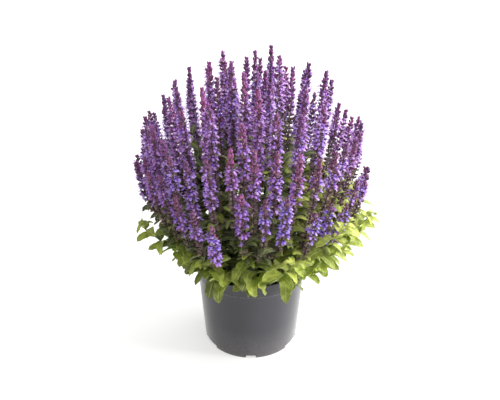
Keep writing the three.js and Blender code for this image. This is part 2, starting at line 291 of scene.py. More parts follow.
def place_leaf(stem, pair, k, side, bend):
    """The leaf of a pair at one of its ways, bent by one of the bends."""
    turn, lift = bend
    seed = seed_of(stem, "leaf", k * 2 + side)
    up = pair["up"] + LEAF_STAGGER * (1 if stem["number"] % 2 else -1)
    angle = stem["angle"] + pair["ways"][side] + vary("leaf_angle", seed) + turn
    point = stem["axis"].places(up * stem["green"], stem["out"])[0]
    return {
        "seed": seed,
        "joint": up * stem["green"],
        "from": point + heading(angle) * LEAF_ROOT,
        "angle": angle,
        "reach": pair["reach"] * (1 + vary("leaf_reach", seed)),
        "width": pair["width"],
        "crest": pair["crest"],
        "rise": pair["rise"] + vary("leaf_rise", seed) + lift,
        "drop": pair["drop"] + vary("leaf_drop", seed) - lift,
    }


def grow_clump():
    """All stems, numbered from the middle outwards."""
    places = [(ring, i) for ring in RINGS for i in range(ring["count"])]
    return [grow_stem(ring, i, k + 1) for k, (ring, i) in enumerate(places)]


def kept_leaves(stem):
    """The leaves of a stem as the frame has them: each is known by the point of its tip."""
    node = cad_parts[node_name(stem, "leafy")]
    tree = kdtree.KDTree(len(node.data.vertices))
    for i, vertex in enumerate(node.data.vertices):
        tree.insert(vertex.co, i)
    tree.balance()
    leaves = []
    for k, pair in enumerate(stem["ring"]["pairs"]):
        for side in (0, 1):
            for bend in BENDS:
                leaf = place_leaf(stem, pair, k, side, bend)
                tip = leaf["from"] + heading(leaf["angle"]) * leaf["reach"] - UP * leaf["drop"]
                if tree.find(Vector(tip * MM))[2] < TIP_MATCH * MM:
                    leaves.append(leaf)
                    break
    return leaves


def node_name(stem, part):
    """The name of the frame's node for a part of a stem."""
    return f"stem_{stem['number']:02d}_{part}"


# ---------------------------------------------------------------- meshes

CHANNELS = ("tone", "along", "across", "blush")


class Skin:
    """A mesh that grows part by part. Each point carries a tone, its place along and across its part,
    and a blush, which the finishes read."""

    def __init__(self):
        self.points, self.faces, self.finishes, self.channels = [], [], [], []
        self.count = 0

    def add(self, points, faces, finish, tone=0.5, along=0.0, across=0.0, blush=0.0):
        """Adds points (n, 3) in millimetres, and arrays of faces (m, 3) or (m, 4). The finish is one number,
        or for each array one number or one for each of its faces."""
        points = np.asarray(points, float).reshape(-1, 3)
        n = len(points)
        self.points.append(points)
        for some, its in zip(faces, finish if isinstance(finish, list) else [finish] * len(faces)):
            self.faces.append(np.asarray(some) + self.count)
            self.finishes.append(np.broadcast_to(np.asarray(its), (len(some),)))
        self.channels.append(np.stack([np.broadcast_to(c, (n,)) for c in (tone, along, across, blush)]))
        self.count += n

    def build(self, name, finishes, sharp=None):
        """The object of that name in the scene."""
        mesh = bpy.data.meshes.new(name)
        points = np.concatenate(self.points) * MM
        sizes = np.concatenate([np.full(len(f), f.shape[1]) for f in self.faces])
        corners = np.concatenate([f.ravel() for f in self.faces])
        mesh.vertices.add(len(points))
        mesh.vertices.foreach_set("co", points.ravel())
        mesh.loops.add(len(corners))
        mesh.loops.foreach_set("vertex_index", corners)
        mesh.polygons.add(len(sizes))
        mesh.polygons.foreach_set("loop_start", np.concatenate([[0], np.cumsum(sizes)[:-1]]))
        mesh.polygons.foreach_set("material_index", np.concatenate(self.finishes))
        mesh.update(calc_edges=True)
        for channel, values in zip(CHANNELS, np.concatenate(self.channels, axis=1)):
            mesh.attributes.new(channel, "FLOAT", "POINT").data.foreach_set("value", values)
        mesh.shade_smooth()
        if sharp is not None:
            mesh.set_sharp_from_angle(angle=sharp)
        for finish in finishes:
            mesh.materials.append(finish)
        piece = bpy.data.objects.new(name, mesh)
        bpy.context.scene.collection.objects.link(piece)
        return piece


def grid_faces(rows, columns, closed=False):
    """Quads between the points of a grid. A closed one joins its last column to its first."""
    spans = columns if closed else columns - 1
    i, j = np.meshgrid(np.arange(rows - 1), np.arange(spans), indexing="ij")
    a, b = i * columns + j, i * columns + (j + 1) % columns
    return np.stack([a, b, b + columns, a + columns], axis=-1).reshape(-1, 4)


def fan_faces(first, columns, tip, outward=True):
    """Triangles from a closed ring of points to a tip."""
    j = np.arange(columns)
    ring = [first + j, first + (j + 1) % columns]
    return np.stack([*(ring if outward else ring[::-1]), np.full(columns, tip)], axis=-1)


def tube(curve, distances, radii, wanted, angles):
    """Points round a curve: one ring for each distance, one point for each angle."""
    points, _, out, aside = curve.places(distances, wanted)
    reach = np.asarray(radii)[:, None]
    x, y = reach * np.cos(angles), reach * np.sin(angles)
    return points[:, None] + x[..., None] * out[:, None] + y[..., None] * aside[:, None]


# ---------------------------------------------------------------- finishes

# Noise is given in lumps to the metre, and the depth of a relief in metres.
PETAL_TRANSLUCENCY = 0.35
CALYX_SPECKS = (0.02, 0.008, 0.015)
VEINS = 11  # down the length of a leaf
VEIN_SLANT = 0.22
LEAF_GLOW = (0.8, 1.4, 0.2)  # how far red, green and blue light spread in a leaf, in millimetres


def srgb(red, green, blue):
    """A linear colour for a colour in display values up to 255."""
    shares = (value / 255 for value in (red, green, blue))
    return tuple(v / 12.92 if v < 0.04045 else ((v + 0.055) / 1.055) ** 2.4 for v in shares)


class Finish:
    """A material that is put together node by node. Values may be numbers, colours or sockets."""

    def __init__(self, name):
        self.material = bpy.data.materials.new(name)
        self.material.use_nodes = True
        self.tree = self.material.node_tree
        self.tree.nodes.clear()

    def node(self, kind, **inputs):
        """Adds a node, and sets or links its inputs, whose names have _ for a space."""
        node = self.tree.nodes.new(kind)
        for name, value in inputs.items():
            self.feed(node.inputs[name.replace("_", " ")], value)
        return node

    def feed(self, socket, value):
        """Sets a socket to a value, or links it to another socket."""
        if isinstance(value, bpy.types.NodeSocket):
            self.tree.links.new(value, socket)
        elif isinstance(value, (tuple, list)) and len(value) == 3 and socket.type == "RGBA":
            socket.default_value = (*value, 1)
        else:
            socket.default_value = value

    def math(self, operation, *values):
        """The result of one sum."""
        node = self.tree.nodes.new("ShaderNodeMath")
        node.operation = operation
        for socket, value in zip(node.inputs, values):
            self.feed(socket, value)
        return node.outputs[0]

    def channel(self, name):
        """A number that the mesh carries at each point."""
        node = self.tree.nodes.new("ShaderNodeAttribute")
        node.attribute_name = name
        return node.outputs["Fac"]

    def noise(self, scale, detail=3.0, stretch=(1, 1, 1)):
        """Noise over the object, in lumps to the metre."""
        place = self.node("ShaderNodeTexCoord").outputs["Object"]
        if stretch != (1, 1, 1):
            place = self.node("ShaderNodeMapping", Vector=place, Scale=stretch).outputs[0]
        return self.node("ShaderNodeTexNoise", Vector=place, Scale=scale, Detail=detail).outputs["Fac"]

    def ramp(self, share, *stops):
        """Colours or grey values between stops given as (place, colour)."""
        node = self.node("ShaderNodeValToRGB", Fac=share)
        elements = node.color_ramp.elements
        while len(elements) < len(stops):
            elements.new(0.5)
        for element, (place, colour) in zip(elements, stops):
            element.position = place
            element.color = (*colour, 1) if isinstance(colour, tuple) else (colour, colour, colour, 1)
        return node.outputs["Color"]

    def mix(self, share, a, b):
        """Two colours mixed."""
        node = self.tree.nodes.new("ShaderNodeMix")
        node.data_type = "RGBA"
        for name, value in (("Factor_Float", share), ("A_Color", a), ("B_Color", b)):
            self.feed(next(s for s in node.inputs if s.identifier == name), value)
        return next(s for s in node.outputs if s.identifier == "Result_Color")

    def lay(self, under, over, where, first, last):
        """A colour laid over another. Its share goes with a value between two stops, as (place, share)."""
        return self.mix(self.ramp(where, first, last), under, over)

    def bump(self, height, distance, strength=1.0):
        """Normals raised by a height."""
        return self.node("ShaderNodeBump", Height=height, Distance=distance, Strength=strength).outputs[0]

    def surface(self, colour, roughness, **more):
        """A surface of that colour and roughness, and what else its shader takes."""
        return self.node("ShaderNodeBsdfPrincipled", Base_Color=colour, Roughness=roughness, **more)

    def end(self, shader):
        """Shows a shader, and gives the material."""
        output = self.tree.nodes.new("ShaderNodeOutputMaterial")
        self.tree.links.new(shader.outputs[0], output.inputs["Surface"])
        return self.material


def petal_finish(looks):
    """Thin violet corollas that let light through, paler at their lips: partly their own colour, partly
    painted highlight.
    """
    finish = Finish("petal")
    tone, along, blush = (finish.channel(c) for c in ("tone", "along", "blush"))
    # The tone carries painted light: paler on spikes high on the clump and at its sides, darker low down.
    colour = finish.ramp(tone, (0.0, looks.petal_dark), (0.5, looks.petal), (1.0, looks.petal_pale))
    # Darker towards the tube and paler at the lips: partly the corolla's own colour, partly painted shade in
    # the throat and painted highlight on the lips.
    colour = finish.lay(colour, looks.petal_dark, along, (0.0, 0.7), (0.65, 0.0))
    colour = finish.lay(colour, looks.petal_pale, along, (0.52, 0.0), (0.76, 0.55))
    colour = finish.lay(colour, looks.petal_pale, finish.noise(900), (0.45, 0.0), (0.75, 0.3))
    # The pink comes partly by chance and partly as painted light high up and at the sides.
    colour = finish.lay(colour, looks.petal_pink, blush, (0.35, 0.0), (1.0, 0.55))
    streaks = finish.noise(2500, stretch=(1, 1, 0.3))
    front = finish.surface(colour, 0.55, Sheen_Weight=0.35, Sheen_Roughness=0.5,
                           Normal=finish.bump(streaks, 0.0002, 0.5))
    through = finish.node("ShaderNodeBsdfTranslucent", Color=colour)
    both = finish.tree.nodes.new("ShaderNodeMixShader")
    for socket, value in zip(both.inputs, (PETAL_TRANSLUCENCY, front.outputs[0], through.outputs[0])):
        finish.feed(socket, value)
    return finish.end(both)


def calyx_finish(looks):
    """Hairy calyces and buds, brown to magenta."""
    finish = Finish("calyx")
    tone, along, blush = (finish.channel(c) for c in ("tone", "along", "blush"))
    colour = finish.ramp(blush, (0.05, looks.spent), (0.2, looks.calyx), (0.6, looks.calyx), (1.0, looks.bud))
    colour = finish.lay(colour, looks.stalk_green, along, (0.0, 0.5), (0.5, 0.0))
    colour = finish.lay(colour, looks.petal_dark, tone, (0.4, 0.0), (1.0, 0.2))
    colour = finish.lay(colour, CALYX_SPECKS, finish.noise(1400), (0.4, 0.0), (0.7, 0.25))
    return finish.end(finish.surface(
        colour, 0.65, Sheen_Weight=0.5, Sheen_Roughness=0.4,
        Normal=finish.bump(finish.noise(2200), 0.0003, 0.6),
    ))


def stalk_finish(looks):
    """Stems, green at the foot and brown-purple above."""
    finish = Finish("stalk")
    along = finish.math("ADD", finish.channel("along"), finish.math("MULTIPLY", finish.noise(60), 0.3))
    colour = finish.ramp(along, (0.35, looks.stalk_green), (0.9, looks.stalk))
    streaks = finish.noise(900, stretch=(1, 1, 0.08))
    colour = finish.lay(colour, looks.stalk, streaks, (0.45, 0.0), (0.7, 0.5))
    return finish.end(finish.surface(
        colour, 0.5, Sheen_Weight=0.2, Sheen_Roughness=0.4, Normal=finish.bump(streaks, 0.0003, 0.5)
    ))


def leaf_finish(looks):
    """Matte yellow-green leaves with a pale midrib, sunk side veins and a quilted face between them."""
    finish = Finish("leaf")
    tone, along, across, under = (finish.channel(c) for c in CHANNELS)
    side = finish.math("ABSOLUTE", across)
    midrib = finish.ramp(side, (0.03, 1.0), (0.1, 0.0))
    slant = finish.math("SUBTRACT", along, finish.math("MULTIPLY", side, VEIN_SLANT))
    ridge = finish.math("PINGPONG", finish.math("MULTIPLY", slant, VEINS), 0.5)
    veins = finish.ramp(ridge, (0.02, 1.0), (0.12, 0.0))
    # The tone ramp also lays painted shade on leaves inside the clump and painted light on the right side.
    colour = finish.ramp(tone, (0.0, looks.leaf_dark), (0.5, looks.leaf), (1.0, looks.leaf_young))
    colour = finish.lay(colour, looks.leaf_dark, finish.noise(120), (0.4, 0.0), (0.65, 0.4))
    colour = finish.lay(colour, looks.leaf_young, finish.noise(900), (0.4, 0.0), (0.7, 0.25))
    # The underside's paleness is held back where the tone is painted dark as shade.
    bright = finish.ramp(tone, (0.1, 0.04), (0.6, 0.45))
    colour = finish.mix(finish.math("MULTIPLY", under, bright), colour, looks.leaf_under)
    colour = finish.mix(finish.math("MULTIPLY", veins, 0.3), colour, looks.leaf_vein)
    colour = finish.mix(finish.math("MULTIPLY", midrib, 0.7), colour, looks.leaf_vein)
    relief = finish.math("SUBTRACT", finish.noise(700), finish.math("MULTIPLY", veins, 0.8))
    relief = finish.math("SUBTRACT", relief, midrib)
    return finish.end(finish.surface(
        colour, 0.52, Sheen_Weight=0.15, Sheen_Roughness=0.5, Subsurface_Weight=0.4,
        Subsurface_Radius=LEAF_GLOW, Subsurface_Scale=MM, Normal=finish.bump(relief, 0.0006, 0.6),
    ))


def soil_finish(looks):
    """Damp peaty compost."""
    finish = Finish("soil")
    colour = finish.ramp(finish.noise(260, 6), (0.35, looks.dark), (0.6, looks.brown), (0.8, looks.fibre))
    relief = finish.math("ADD", finish.noise(300, 8), finish.noise(1500, 4))
    return finish.end(finish.surface(colour, 0.85, Normal=finish.bump(relief, 0.002, 0.9)))


def grit_finish(looks):
    """Pale perlite and bits of bark among the compost."""
    finish = Finish("grit")
    tone = finish.channel("tone")
    colour = finish.ramp(tone, (0.2, looks.brown), (0.6, looks.fibre), (0.9, looks.perlite))
    colour = finish.lay(colour, looks.brown, finish.noise(900), (0.4, 0.0), (0.7, 0.6))
    return finish.end(finish.surface(colour, 0.9, Normal=finish.bump(finish.noise(1500), 0.0006)))


def pot_finish(looks):
    """Satin moulded plastic with a fine grain, faint handling marks and a little dust low down."""
    finish = Finish("pot")
    marks = finish.noise(35, 5, stretch=(1, 1, 0.25))
    colour = finish.lay(looks.colour, looks.scuffed, marks, (0.4, 0.0), (0.75, 0.25))
    place = finish.node("ShaderNodeTexCoord").outputs["Object"]
    height = finish.node("ShaderNodeSeparateXYZ", Vector=place).outputs["Z"]
    dust = finish.math("MULTIPLY", finish.noise(160, 4), finish.ramp(height, (0.0, 0.5), (0.07, 0.0)))
    colour = finish.mix(dust, colour, looks.dust)
    unevenness = finish.math("MULTIPLY", finish.math("SUBTRACT", marks, 0.5), 0.15)
    relief = finish.math("ADD", finish.noise(2600, 2), finish.math("MULTIPLY", marks, 0.4))
    return finish.end(finish.surface(
        colour, finish.math("ADD", looks.roughness, unevenness), Sheen_Weight=0.75, Sheen_Roughness=0.3,
        Normal=finish.bump(relief, 0.00012, 0.5),
    ))


def floor_finish(looks):
    """A plain pale studio floor that also glows: painted light that lightens the shadows cast on it."""
    finish = Finish("floor")
    colour = finish.lay(looks.floor, looks.floor_shade, finish.noise(3), (0.3, 0.0), (0.7, 0.3))
    return finish.end(finish.surface(
        colour, 0.7, Emission_Color=looks.floor, Emission_Strength=looks.floor_glow
    ))


# ---------------------------------------------------------------- settings


def tint(label, text, colour):
    """A colour that a user can change."""
    return FloatVectorProperty(
        name=label, description=text, default=colour, subtype="COLOR", size=3, min=0, max=1
    )


def number(label, text, value, low=0.0, high=1.0, **more):
    """A plain number that a user can change."""
    return FloatProperty(name=label, description=text, default=value, min=low, max=high, **more)


def size(label, text, value, low=0.0, high=1.0):
    """A length that a user can change."""
    return number(label, text, value, low, high, unit="LENGTH", precision=4)


def spread(label, text, degrees):
    """The angle over which a light spreads, which a user can change."""
    return number(label, text, math.radians(degrees), 0, math.pi, subtype="ANGLE")


def count(label, text, value, low=0, high=5000):
    """A whole number that a user can change."""
    return IntProperty(name=label, description=text, default=value, min=low, max=high)


POT_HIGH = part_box("pot")[1]


class PotSettings(PropertyGroup):
    """Sizes and finish of the pot."""

    height: size("Height", "Height of the pot", POT_HIGH.z)
    rim_radius: size("Rim radius", "Outer radius of the rim", POT_HIGH.x)
    foot_radius: size("Foot radius", "Outer radius of the foot", 0.1)
    band_height: size("Band height", "Height of the band under the rim", 0.028)
    band_step: size("Band step", "By how much the band stands out of the wall", 0.0025)
    wall: size("Wall", "Thickness of the wall", 0.002)
    sides: count("Sides", "Faces round the pot", 144, 24, 360)
    colour: tint("Plastic", "Colour of the plastic", srgb(46, 45, 52))
    scuffed: tint("Scuffs", "Colour of handled places", srgb(63, 62, 69))
    dust: tint("Dust", "Colour of dust low on the wall", srgb(128, 124, 120))
    roughness: number("Roughness", "Roughness of the plastic", 0.36)


class SoilSettings(PropertyGroup):
    """Colours and grit of the compost."""

    bump: size("Bump", "How rough the surface lies", 0.0035)
    crumbs: count("Crumbs", "Lumps of compost on the surface", 900)
    bits: count("Bits", "Pale bits of perlite and bark", 70)
    dark: tint("Damp compost", "Darkest colour of the compost", srgb(16, 13, 12))
    brown: tint("Compost", "Middle colour of the compost", srgb(38, 30, 26))
    fibre: tint("Fibre", "Colour of the fibres", srgb(96, 78, 62))
    perlite: tint("Perlite", "Colour of the perlite", srgb(205, 200, 190))


class FoliageSettings(PropertyGroup):
    """Shape and colours of leaves and stems."""

    thickness: size("Blade thickness", "Thickness of a leaf", 0.0006)
    teeth: count("Teeth", "Rounded teeth along each edge", 9, 0, 40)
    tooth_depth: number("Tooth depth", "Depth of the teeth as a share of the blade's half width", 0.07)
    leaf: tint("Leaf", "Colour of most leaves", srgb(157, 168, 59))
    # The darkest and youngest colours also serve as painted shade on leaves inside the clump and painted
    # light on the right side.
    leaf_dark: tint("Old leaf", "Colour of the darkest leaves", srgb(42, 51, 24))
    leaf_young: tint("Young leaf", "Colour of the youngest leaves", srgb(186, 195, 78))
    leaf_under: tint("Underside", "Colour of a leaf's underside", srgb(156, 174, 104))
    leaf_vein: tint("Vein", "Colour of the veins", srgb(196, 210, 122))
    stalk_green: tint("Green stem", "Colour of the lower stems", srgb(110, 130, 60))
    stalk: tint("Ripe stem", "Colour of the upper stems", srgb(88, 52, 66))


class BloomSettings(PropertyGroup):
    """Shape and colours of the flower spikes."""

    pitch: size("Pitch", "Distance between whorls", 0.0074, 0.002)
    whorl: count("Florets", "Florets in a whorl", 6, 2, 12)
    floret: number("Floret size", "Size of a floret against its usual one", 1.06, 0.2, 3.0)
    petal: tint("Petal", "Colour of most corollas", srgb(164, 120, 242))
    petal_dark: tint("Dark petal", "Colour of the deepest corollas", srgb(92, 72, 210))
    # The pale and pink colours also serve as painted light on spikes high on the clump and at its sides.
    petal_pale: tint("Pale petal", "Colour of the palest corollas", srgb(224, 194, 255))
    petal_pink: tint("Pink petal", "Colour towards which some spikes turn", srgb(218, 138, 206))
    calyx: tint("Calyx", "Colour of the calyces", srgb(110, 48, 90))
    bud: tint("Bud", "Colour of fresh buds", srgb(160, 66, 132))
    spent: tint("Spent calyx", "Colour of spent calyces", srgb(160, 140, 120))
    stalk_green: tint("Green stem", "Colour at the foot of a calyx", srgb(110, 130, 60))
    stalk: tint("Ripe stem", "Colour of the flowering stems", srgb(88, 52, 66))


class StageSettings(PropertyGroup):
    """Floor, lights and camera."""

    floor: tint("Floor", "Colour of the floor", (0.46, 0.458, 0.455))
    floor_shade: tint("Floor shade", "Colour of the floor's faint clouding", (0.45, 0.448, 0.445))
    floor_glow: number("Floor glow", "Light that comes through the floor, as a lit table", 1.25, 0, 10)
    sky: number("Room light", "Strength of the room's light where it is brightest", 1.85, 0, 10)
    sky_front: number("Dim side", "Strength of the room's light where it is dimmest", 0.05, 0, 10)
    key: number("Key light", "Strength of the soft light from behind on the right", 2.9, 0, 100)
    key_spread: spread("Key spread", "How widely the key light spreads", 60)
    side: number("Side light", "Strength of the low light from the right", 3.1, 0, 100)
    side_spread: spread("Side spread", "How widely the side light spreads", 12)
    lens: number("Lens", "Focal length of the camera", 40.06, 1, 500, unit="CAMERA")


class SalviaSettings(PropertyGroup):
    """All settings of the potted salvia."""

    pot: PointerProperty(type=PotSettings)
    soil: PointerProperty(type=SoilSettings)
    foliage: PointerProperty(type=FoliageSettings)
    blooms: PointerProperty(type=BloomSettings)
    stage: PointerProperty(type=StageSettings)


def plain(group):
    """The settings of a group as plain values, with colours as tuples."""
    values = {}
    for key in group.bl_rna.properties.keys():
        if key in ("rna_type", "name"):
            continue
        value = getattr(group, key)
        values[key] = tuple(value) if hasattr(value, "__len__") else value
    return type("Looks", (), values)


# ---------------------------------------------------------------- pot, in millimetres

POT_UNDER_FLOOR = 7
POT_FLOOR_TOP = 10
POT_FOOT_WIDTH = 6
POT_FOOT_TAPER = 2
POT_CREASE = math.radians(35)
NOTCHES = 6
NOTCH_HEIGHT = 6
NOTCH_WIDTHS = (20, 46)  # by turns
NOTCH_BEVEL = 1.2
NOTCH_FLARE = 1
NOTCH_BELOW = 5
DRAIN_RADIUS = 5
DRAIN_CIRCLE = 74
DRAIN_SIDES = 24


def pot_profile(looks):
    """The section of the pot from the middle of its underside round to the middle of its floor, with
    rounded edges."""
    height, rim, foot = looks.height / MM, looks.rim_radius / MM, looks.foot_radius / MM
    step, wall = looks.band_step / MM, looks.wall / MM
    band = height - looks.band_height / MM

    def outside(z):
        return lerp(foot, rim - step, z / height)

    inner_foot = foot - POT_FOOT_WIDTH
    under = inner_foot - POT_FOOT_TAPER
    ledge = outside(band)
    brow = ledge + step
    floor_edge = outside(POT_FLOOR_TOP) - wall
    section = [(0, POT_UNDER_FLOOR), (under - 0.6, POT_UNDER_FLOOR), (under, POT_UNDER_FLOOR - 0.6)]
    section += [(inner_foot - 0.4, 0.5), (inner_foot, 0), (foot - 0.7, 0), (foot - 0.2, 0.25), (foot, 0.8)]
    section += [(outside(z), z) for z in np.linspace(12, band - 1.5, 8)]
    section += [(ledge + 0.15, band - 0.5), (ledge + 0.6, band), (brow - 0.6, band + 0.4)]
    section += [(brow - 0.1, band + 0.9), (brow + 0.03, band + 1.8)]
    section += [(lerp(brow, rim, s), lerp(band, height, s)) for s in (0.25, 0.5, 0.75)]
    section += [(rim - 0.05, height - 1.6), (rim, height - 0.9), (rim - 0.35, height - 0.25)]
    section += [(rim - 1, height), (rim - 1.7, height - 0.15), (rim - step, height - 0.9)]
    section += [(rim - step - 0.15, height - 2)]
    inside = (0.1, 0.3, 0.6, 0.98)
    section += [(lerp(rim - step, floor_edge, s), lerp(height - 1, POT_FLOOR_TOP, s)) for s in inside]
    section += [(floor_edge - 1.5, POT_FLOOR_TOP), (0, POT_FLOOR_TOP)]
    return np.array(section, float)


def make_pot(looks):
    """The moulded pot, turned from its section, with notches in its foot and drain holes."""
    section = pot_profile(looks)
    rings = section[1:-1]
    angles = round_circle(looks.sides)
    x, y = rings[:, :1] * np.cos(angles), rings[:, :1] * np.sin(angles)
    points = np.stack([x, y, np.repeat(rings[:, 1:], looks.sides, 1)], axis=-1).reshape(-1, 3)
    points = np.vstack([points, [0, 0, section[0, 1]], [0, 0, section[-1, 1]]])
    skin = Skin()
    skin.add(points, [
        grid_faces(len(rings), looks.sides, closed=True),
        fan_faces(0, looks.sides, len(points) - 2, outward=False),
        fan_faces((len(rings) - 1) * looks.sides, looks.sides, len(points) - 1),
    ], 0)
    pot = skin.build("pot_shell", [pot_finish(looks)])
    cut(pot, notch_cutter(looks))
    pot.data.shade_smooth()
    pot.data.set_sharp_from_angle(angle=POT_CREASE)
    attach(pot, "root")
    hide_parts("pot")


def notch_cutter(looks):
    """The shapes that are cut out of the foot and floor, as one mesh."""
    mesh = bmesh.new()
    foot = looks.foot_radius / MM
    for i in range(NOTCHES):
        angle = i / NOTCHES * TAU - math.pi / 2
        out, aside = Vector(heading(angle)), Vector(heading(angle + math.pi / 2))
        half, shoulder = NOTCH_WIDTHS[i % 2] / 2, NOTCH_HEIGHT - NOTCH_BEVEL
        outline = [(-half - NOTCH_FLARE, -NOTCH_BELOW), (half + NOTCH_FLARE, -NOTCH_BELOW), (half, shoulder),
                   (half - NOTCH_BEVEL, NOTCH_HEIGHT), (NOTCH_BEVEL - half, NOTCH_HEIGHT), (-half, shoulder)]
        rings = [
            [mesh.verts.new((out * r + aside * x) * MM + Vector((0, 0, z * MM))) for x, z in outline]
            for r in (foot - 2 * POT_FOOT_WIDTH, foot + 2 * POT_FOOT_WIDTH)
        ]
        mesh.faces.new(rings[0])
        mesh.faces.new(rings[1][::-1])
        for j in range(len(outline)):
            k = (j + 1) % len(outline)
            mesh.faces.new([rings[0][j], rings[1][j], rings[1][k], rings[0][k]])
        if i % 2:
            radius, depth = DRAIN_RADIUS * MM, 3 * POT_FLOOR_TOP * MM
            drill = bmesh.ops.create_cone(
                mesh, cap_ends=True, segments=DRAIN_SIDES, radius1=radius, radius2=radius, depth=depth
            )
            bmesh.ops.translate(mesh, verts=drill["verts"], vec=out * DRAIN_CIRCLE * MM)
    bmesh.ops.recalc_face_normals(mesh, faces=mesh.faces)
    data = bpy.data.meshes.new("cutter")
    mesh.to_mesh(data)
    mesh.free()
    cutter = bpy.data.objects.new("cutter", data)
    bpy.context.scene.collection.objects.link(cutter)
    return cutter


def cut(piece, cutter):
    """Takes the cutter's shapes out of a piece, and deletes the cutter."""
    modifier = piece.modifiers.new("cut", "BOOLEAN")
    modifier.operation = "DIFFERENCE"
    modifier.solver = "EXACT"
    modifier.object = cutter
    bpy.context.view_layer.update()
    result = bpy.data.meshes.new_from_object(piece.evaluated_get(bpy.context.evaluated_depsgraph_get()))
    piece.modifiers.clear()
    old, piece.data = piece.data, result
    bpy.data.meshes.remove(old)
    result.name = piece.name
    bpy.data.objects.remove(cutter)


# ---------------------------------------------------------------- soil, in millimetres

SOIL_RINGS = 34
SOIL_SIDES = 120
SOIL_TAPER = 0.88  # the foot of the plug against its top
SOIL_EDGE = (88, 108)  # between these radii the surface falls towards the wall
SOIL_EDGE_FALL = 3.5
SOIL_LUMPS = 0.06  # lumps to the millimetre, and how their finer layers follow
SOIL_LAYERS = (0.9, 2.1, 5)
SOIL_GRAINS = 0.5
SOIL_GRAIN_LAYER = 7
SOIL_GRAIN_SHARE = 0.35
SOIL_CREASE = math.radians(50)
SOIL_SEED = 11
CRUMB = np.array([(1, 0, 0), (0, 1, 0), (-1, 0, 0), (0, -1, 0), (0, 0, 1), (0, 0, -1)], float)
CRUMB_FACES = np.array([(i, (i + 1) % 4, 4) for i in range(4)] + [((i + 1) % 4, i, 5) for i in range(4)])
CRUMB_SIZES = (0.8, 2.6)
BIT_SIZES = (0.6, 1.5)
CRUMB_STRETCH = (0.6, 1.3)
CRUMB_FLATNESS = 0.75
CRUMB_RISE = 0.3
CRUMB_MARGIN = 3


def soil_height(x, y, bump):
    """The height of the surface of the compost at a place."""
    lumps = noise.fractal(Vector((x, y, 0)) * SOIL_LUMPS, *SOIL_LAYERS)
    rough = lumps + SOIL_GRAIN_SHARE * noise.noise(Vector((x, y, SOIL_GRAIN_LAYER)) * SOIL_GRAINS)
    return SOIL_TOP + bump * rough - SOIL_EDGE_FALL * float(smooth(*SOIL_EDGE, math.hypot(x, y)))


def make_soil(looks):
    """The compost: a rough surface on a plug, with crumbs and pale bits on it."""
    low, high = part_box("soil")
    rim, foot, bump = high.x / MM, low.z / MM, looks.bump / MM
    radii = rim * np.sqrt(np.linspace(0, 1, SOIL_RINGS + 1)[1:])
    angles = round_circle(SOIL_SIDES)
    top = [(0, 0)] + [(r * math.cos(a), r * math.sin(a)) for r in radii for a in angles]
    points = [(x, y, soil_height(x, y, bump)) for x, y in top]
    points += [(SOIL_TAPER * rim * math.cos(a), SOIL_TAPER * rim * math.sin(a), foot) for a in angles]
    points += [(0, 0, foot)]
    skin = Skin()
    skin.add(points, [
        grid_faces(SOIL_RINGS + 1, SOIL_SIDES, closed=True)[:, ::-1] + 1,
        fan_faces(1, SOIL_SIDES, 0),
        fan_faces(1 + SOIL_RINGS * SOIL_SIDES, SOIL_SIDES, len(points) - 1, outward=False),
    ], 0)
    rng = np.random.default_rng(SOIL_SEED)
    reach = rim - CRUMB_MARGIN
    for finish, amount, sizes in ((0, looks.crumbs, CRUMB_SIZES), (1, looks.bits, BIT_SIZES)):
        spots = rng.uniform(-1, 1, (4 * amount, 2)) * reach
        for x, y in spots[np.hypot(*spots.T) < reach][:amount]:
            shape = CRUMB * rng.uniform(*CRUMB_STRETCH, CRUMB.shape) * rng.uniform(*sizes)
            turn = rng.uniform(0, TAU)
            c, s = math.cos(turn), math.sin(turn)
            spin = np.array([(c, s, 0), (-s, c, 0), (0, 0, CRUMB_FLATNESS)])
            place = (x, y, soil_height(x, y, bump) + CRUMB_RISE)
            skin.add(shape @ spin + place, [CRUMB_FACES], finish, rng.uniform())
    soil = skin.build("soil_crumb", [soil_finish(looks), grit_finish(looks)], sharp=SOIL_CREASE)
    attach(soil, "root")
    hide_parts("soil")


# ---------------------------------------------------------------- leaves and stalks, in millimetres

BLADE_BASE = 0.2
BLADE_FULLNESS = 0.46
BLADE_OPENS = 0.2  # share of a leaf over which its petiole widens
PETIOLE = 1.1
LEAF_TIP = 0.35
TEETH_START = (0.1, 0.3)  # shares of a leaf over which its teeth grow to their depth
LEAF_WAVE = 1.8  # height of the waves of the edges, half waves along the leaf, and where they begin and end
LEAF_WAVES = 5
WAVE_START = (0.0, 0.2)
WAVE_END = (1.02, 0.8)
LEAF_RIPPLE = 1.3  # the same for the ripples in which both edges go together
LEAF_RIPPLES = 9
RIPPLE_START = (0.1, 0.35)
LEAF_FOLD = 0.2
LEAF_FOLD_CURVE = 1.4
LEAF_CURL = 0.06
ROLL = 0.45  # most by which a leaf lies over to one side, and by which its tip turns further
TWIST = 0.8
TURN_START = (0.05, 0.4)
SWAY = 0.07  # most by which a midrib bends sideways, as a share of the reach
LEAF_DRAWS = {"sway": 13, "second sway": 17, "ripple": 31, "tone": 57, "roll": 77, "twist": 83}
TONE_VARIETY = 0.45
PAINTED_LIGHT_SIDE = (50, 150)  # between these places to the right leaves are painted brighter: painted light from the lamps on the right
PAINTED_LIGHT_TONE = 0.3

LEAF_GRID = (19, 7)  # rows and columns of points on a leaf
SHOOT_GRID = (10, 5)
SMALL_GRID = (9, 5)
BRACT_GRID = (7, 3)
FOLIAGE_CREASE = math.radians(60)
BLADE, BARK = range(2)  # the finishes of leafy pieces

STALK_RINGS = 30
STALK_INSET = 0.94
STALK_CORNERS = (-0.26, 0.26)  # each corner is cut off between two angles
STALK_RIPENESS = 1.2
KNOT = 0.09
KNOT_LENGTH = 3.5

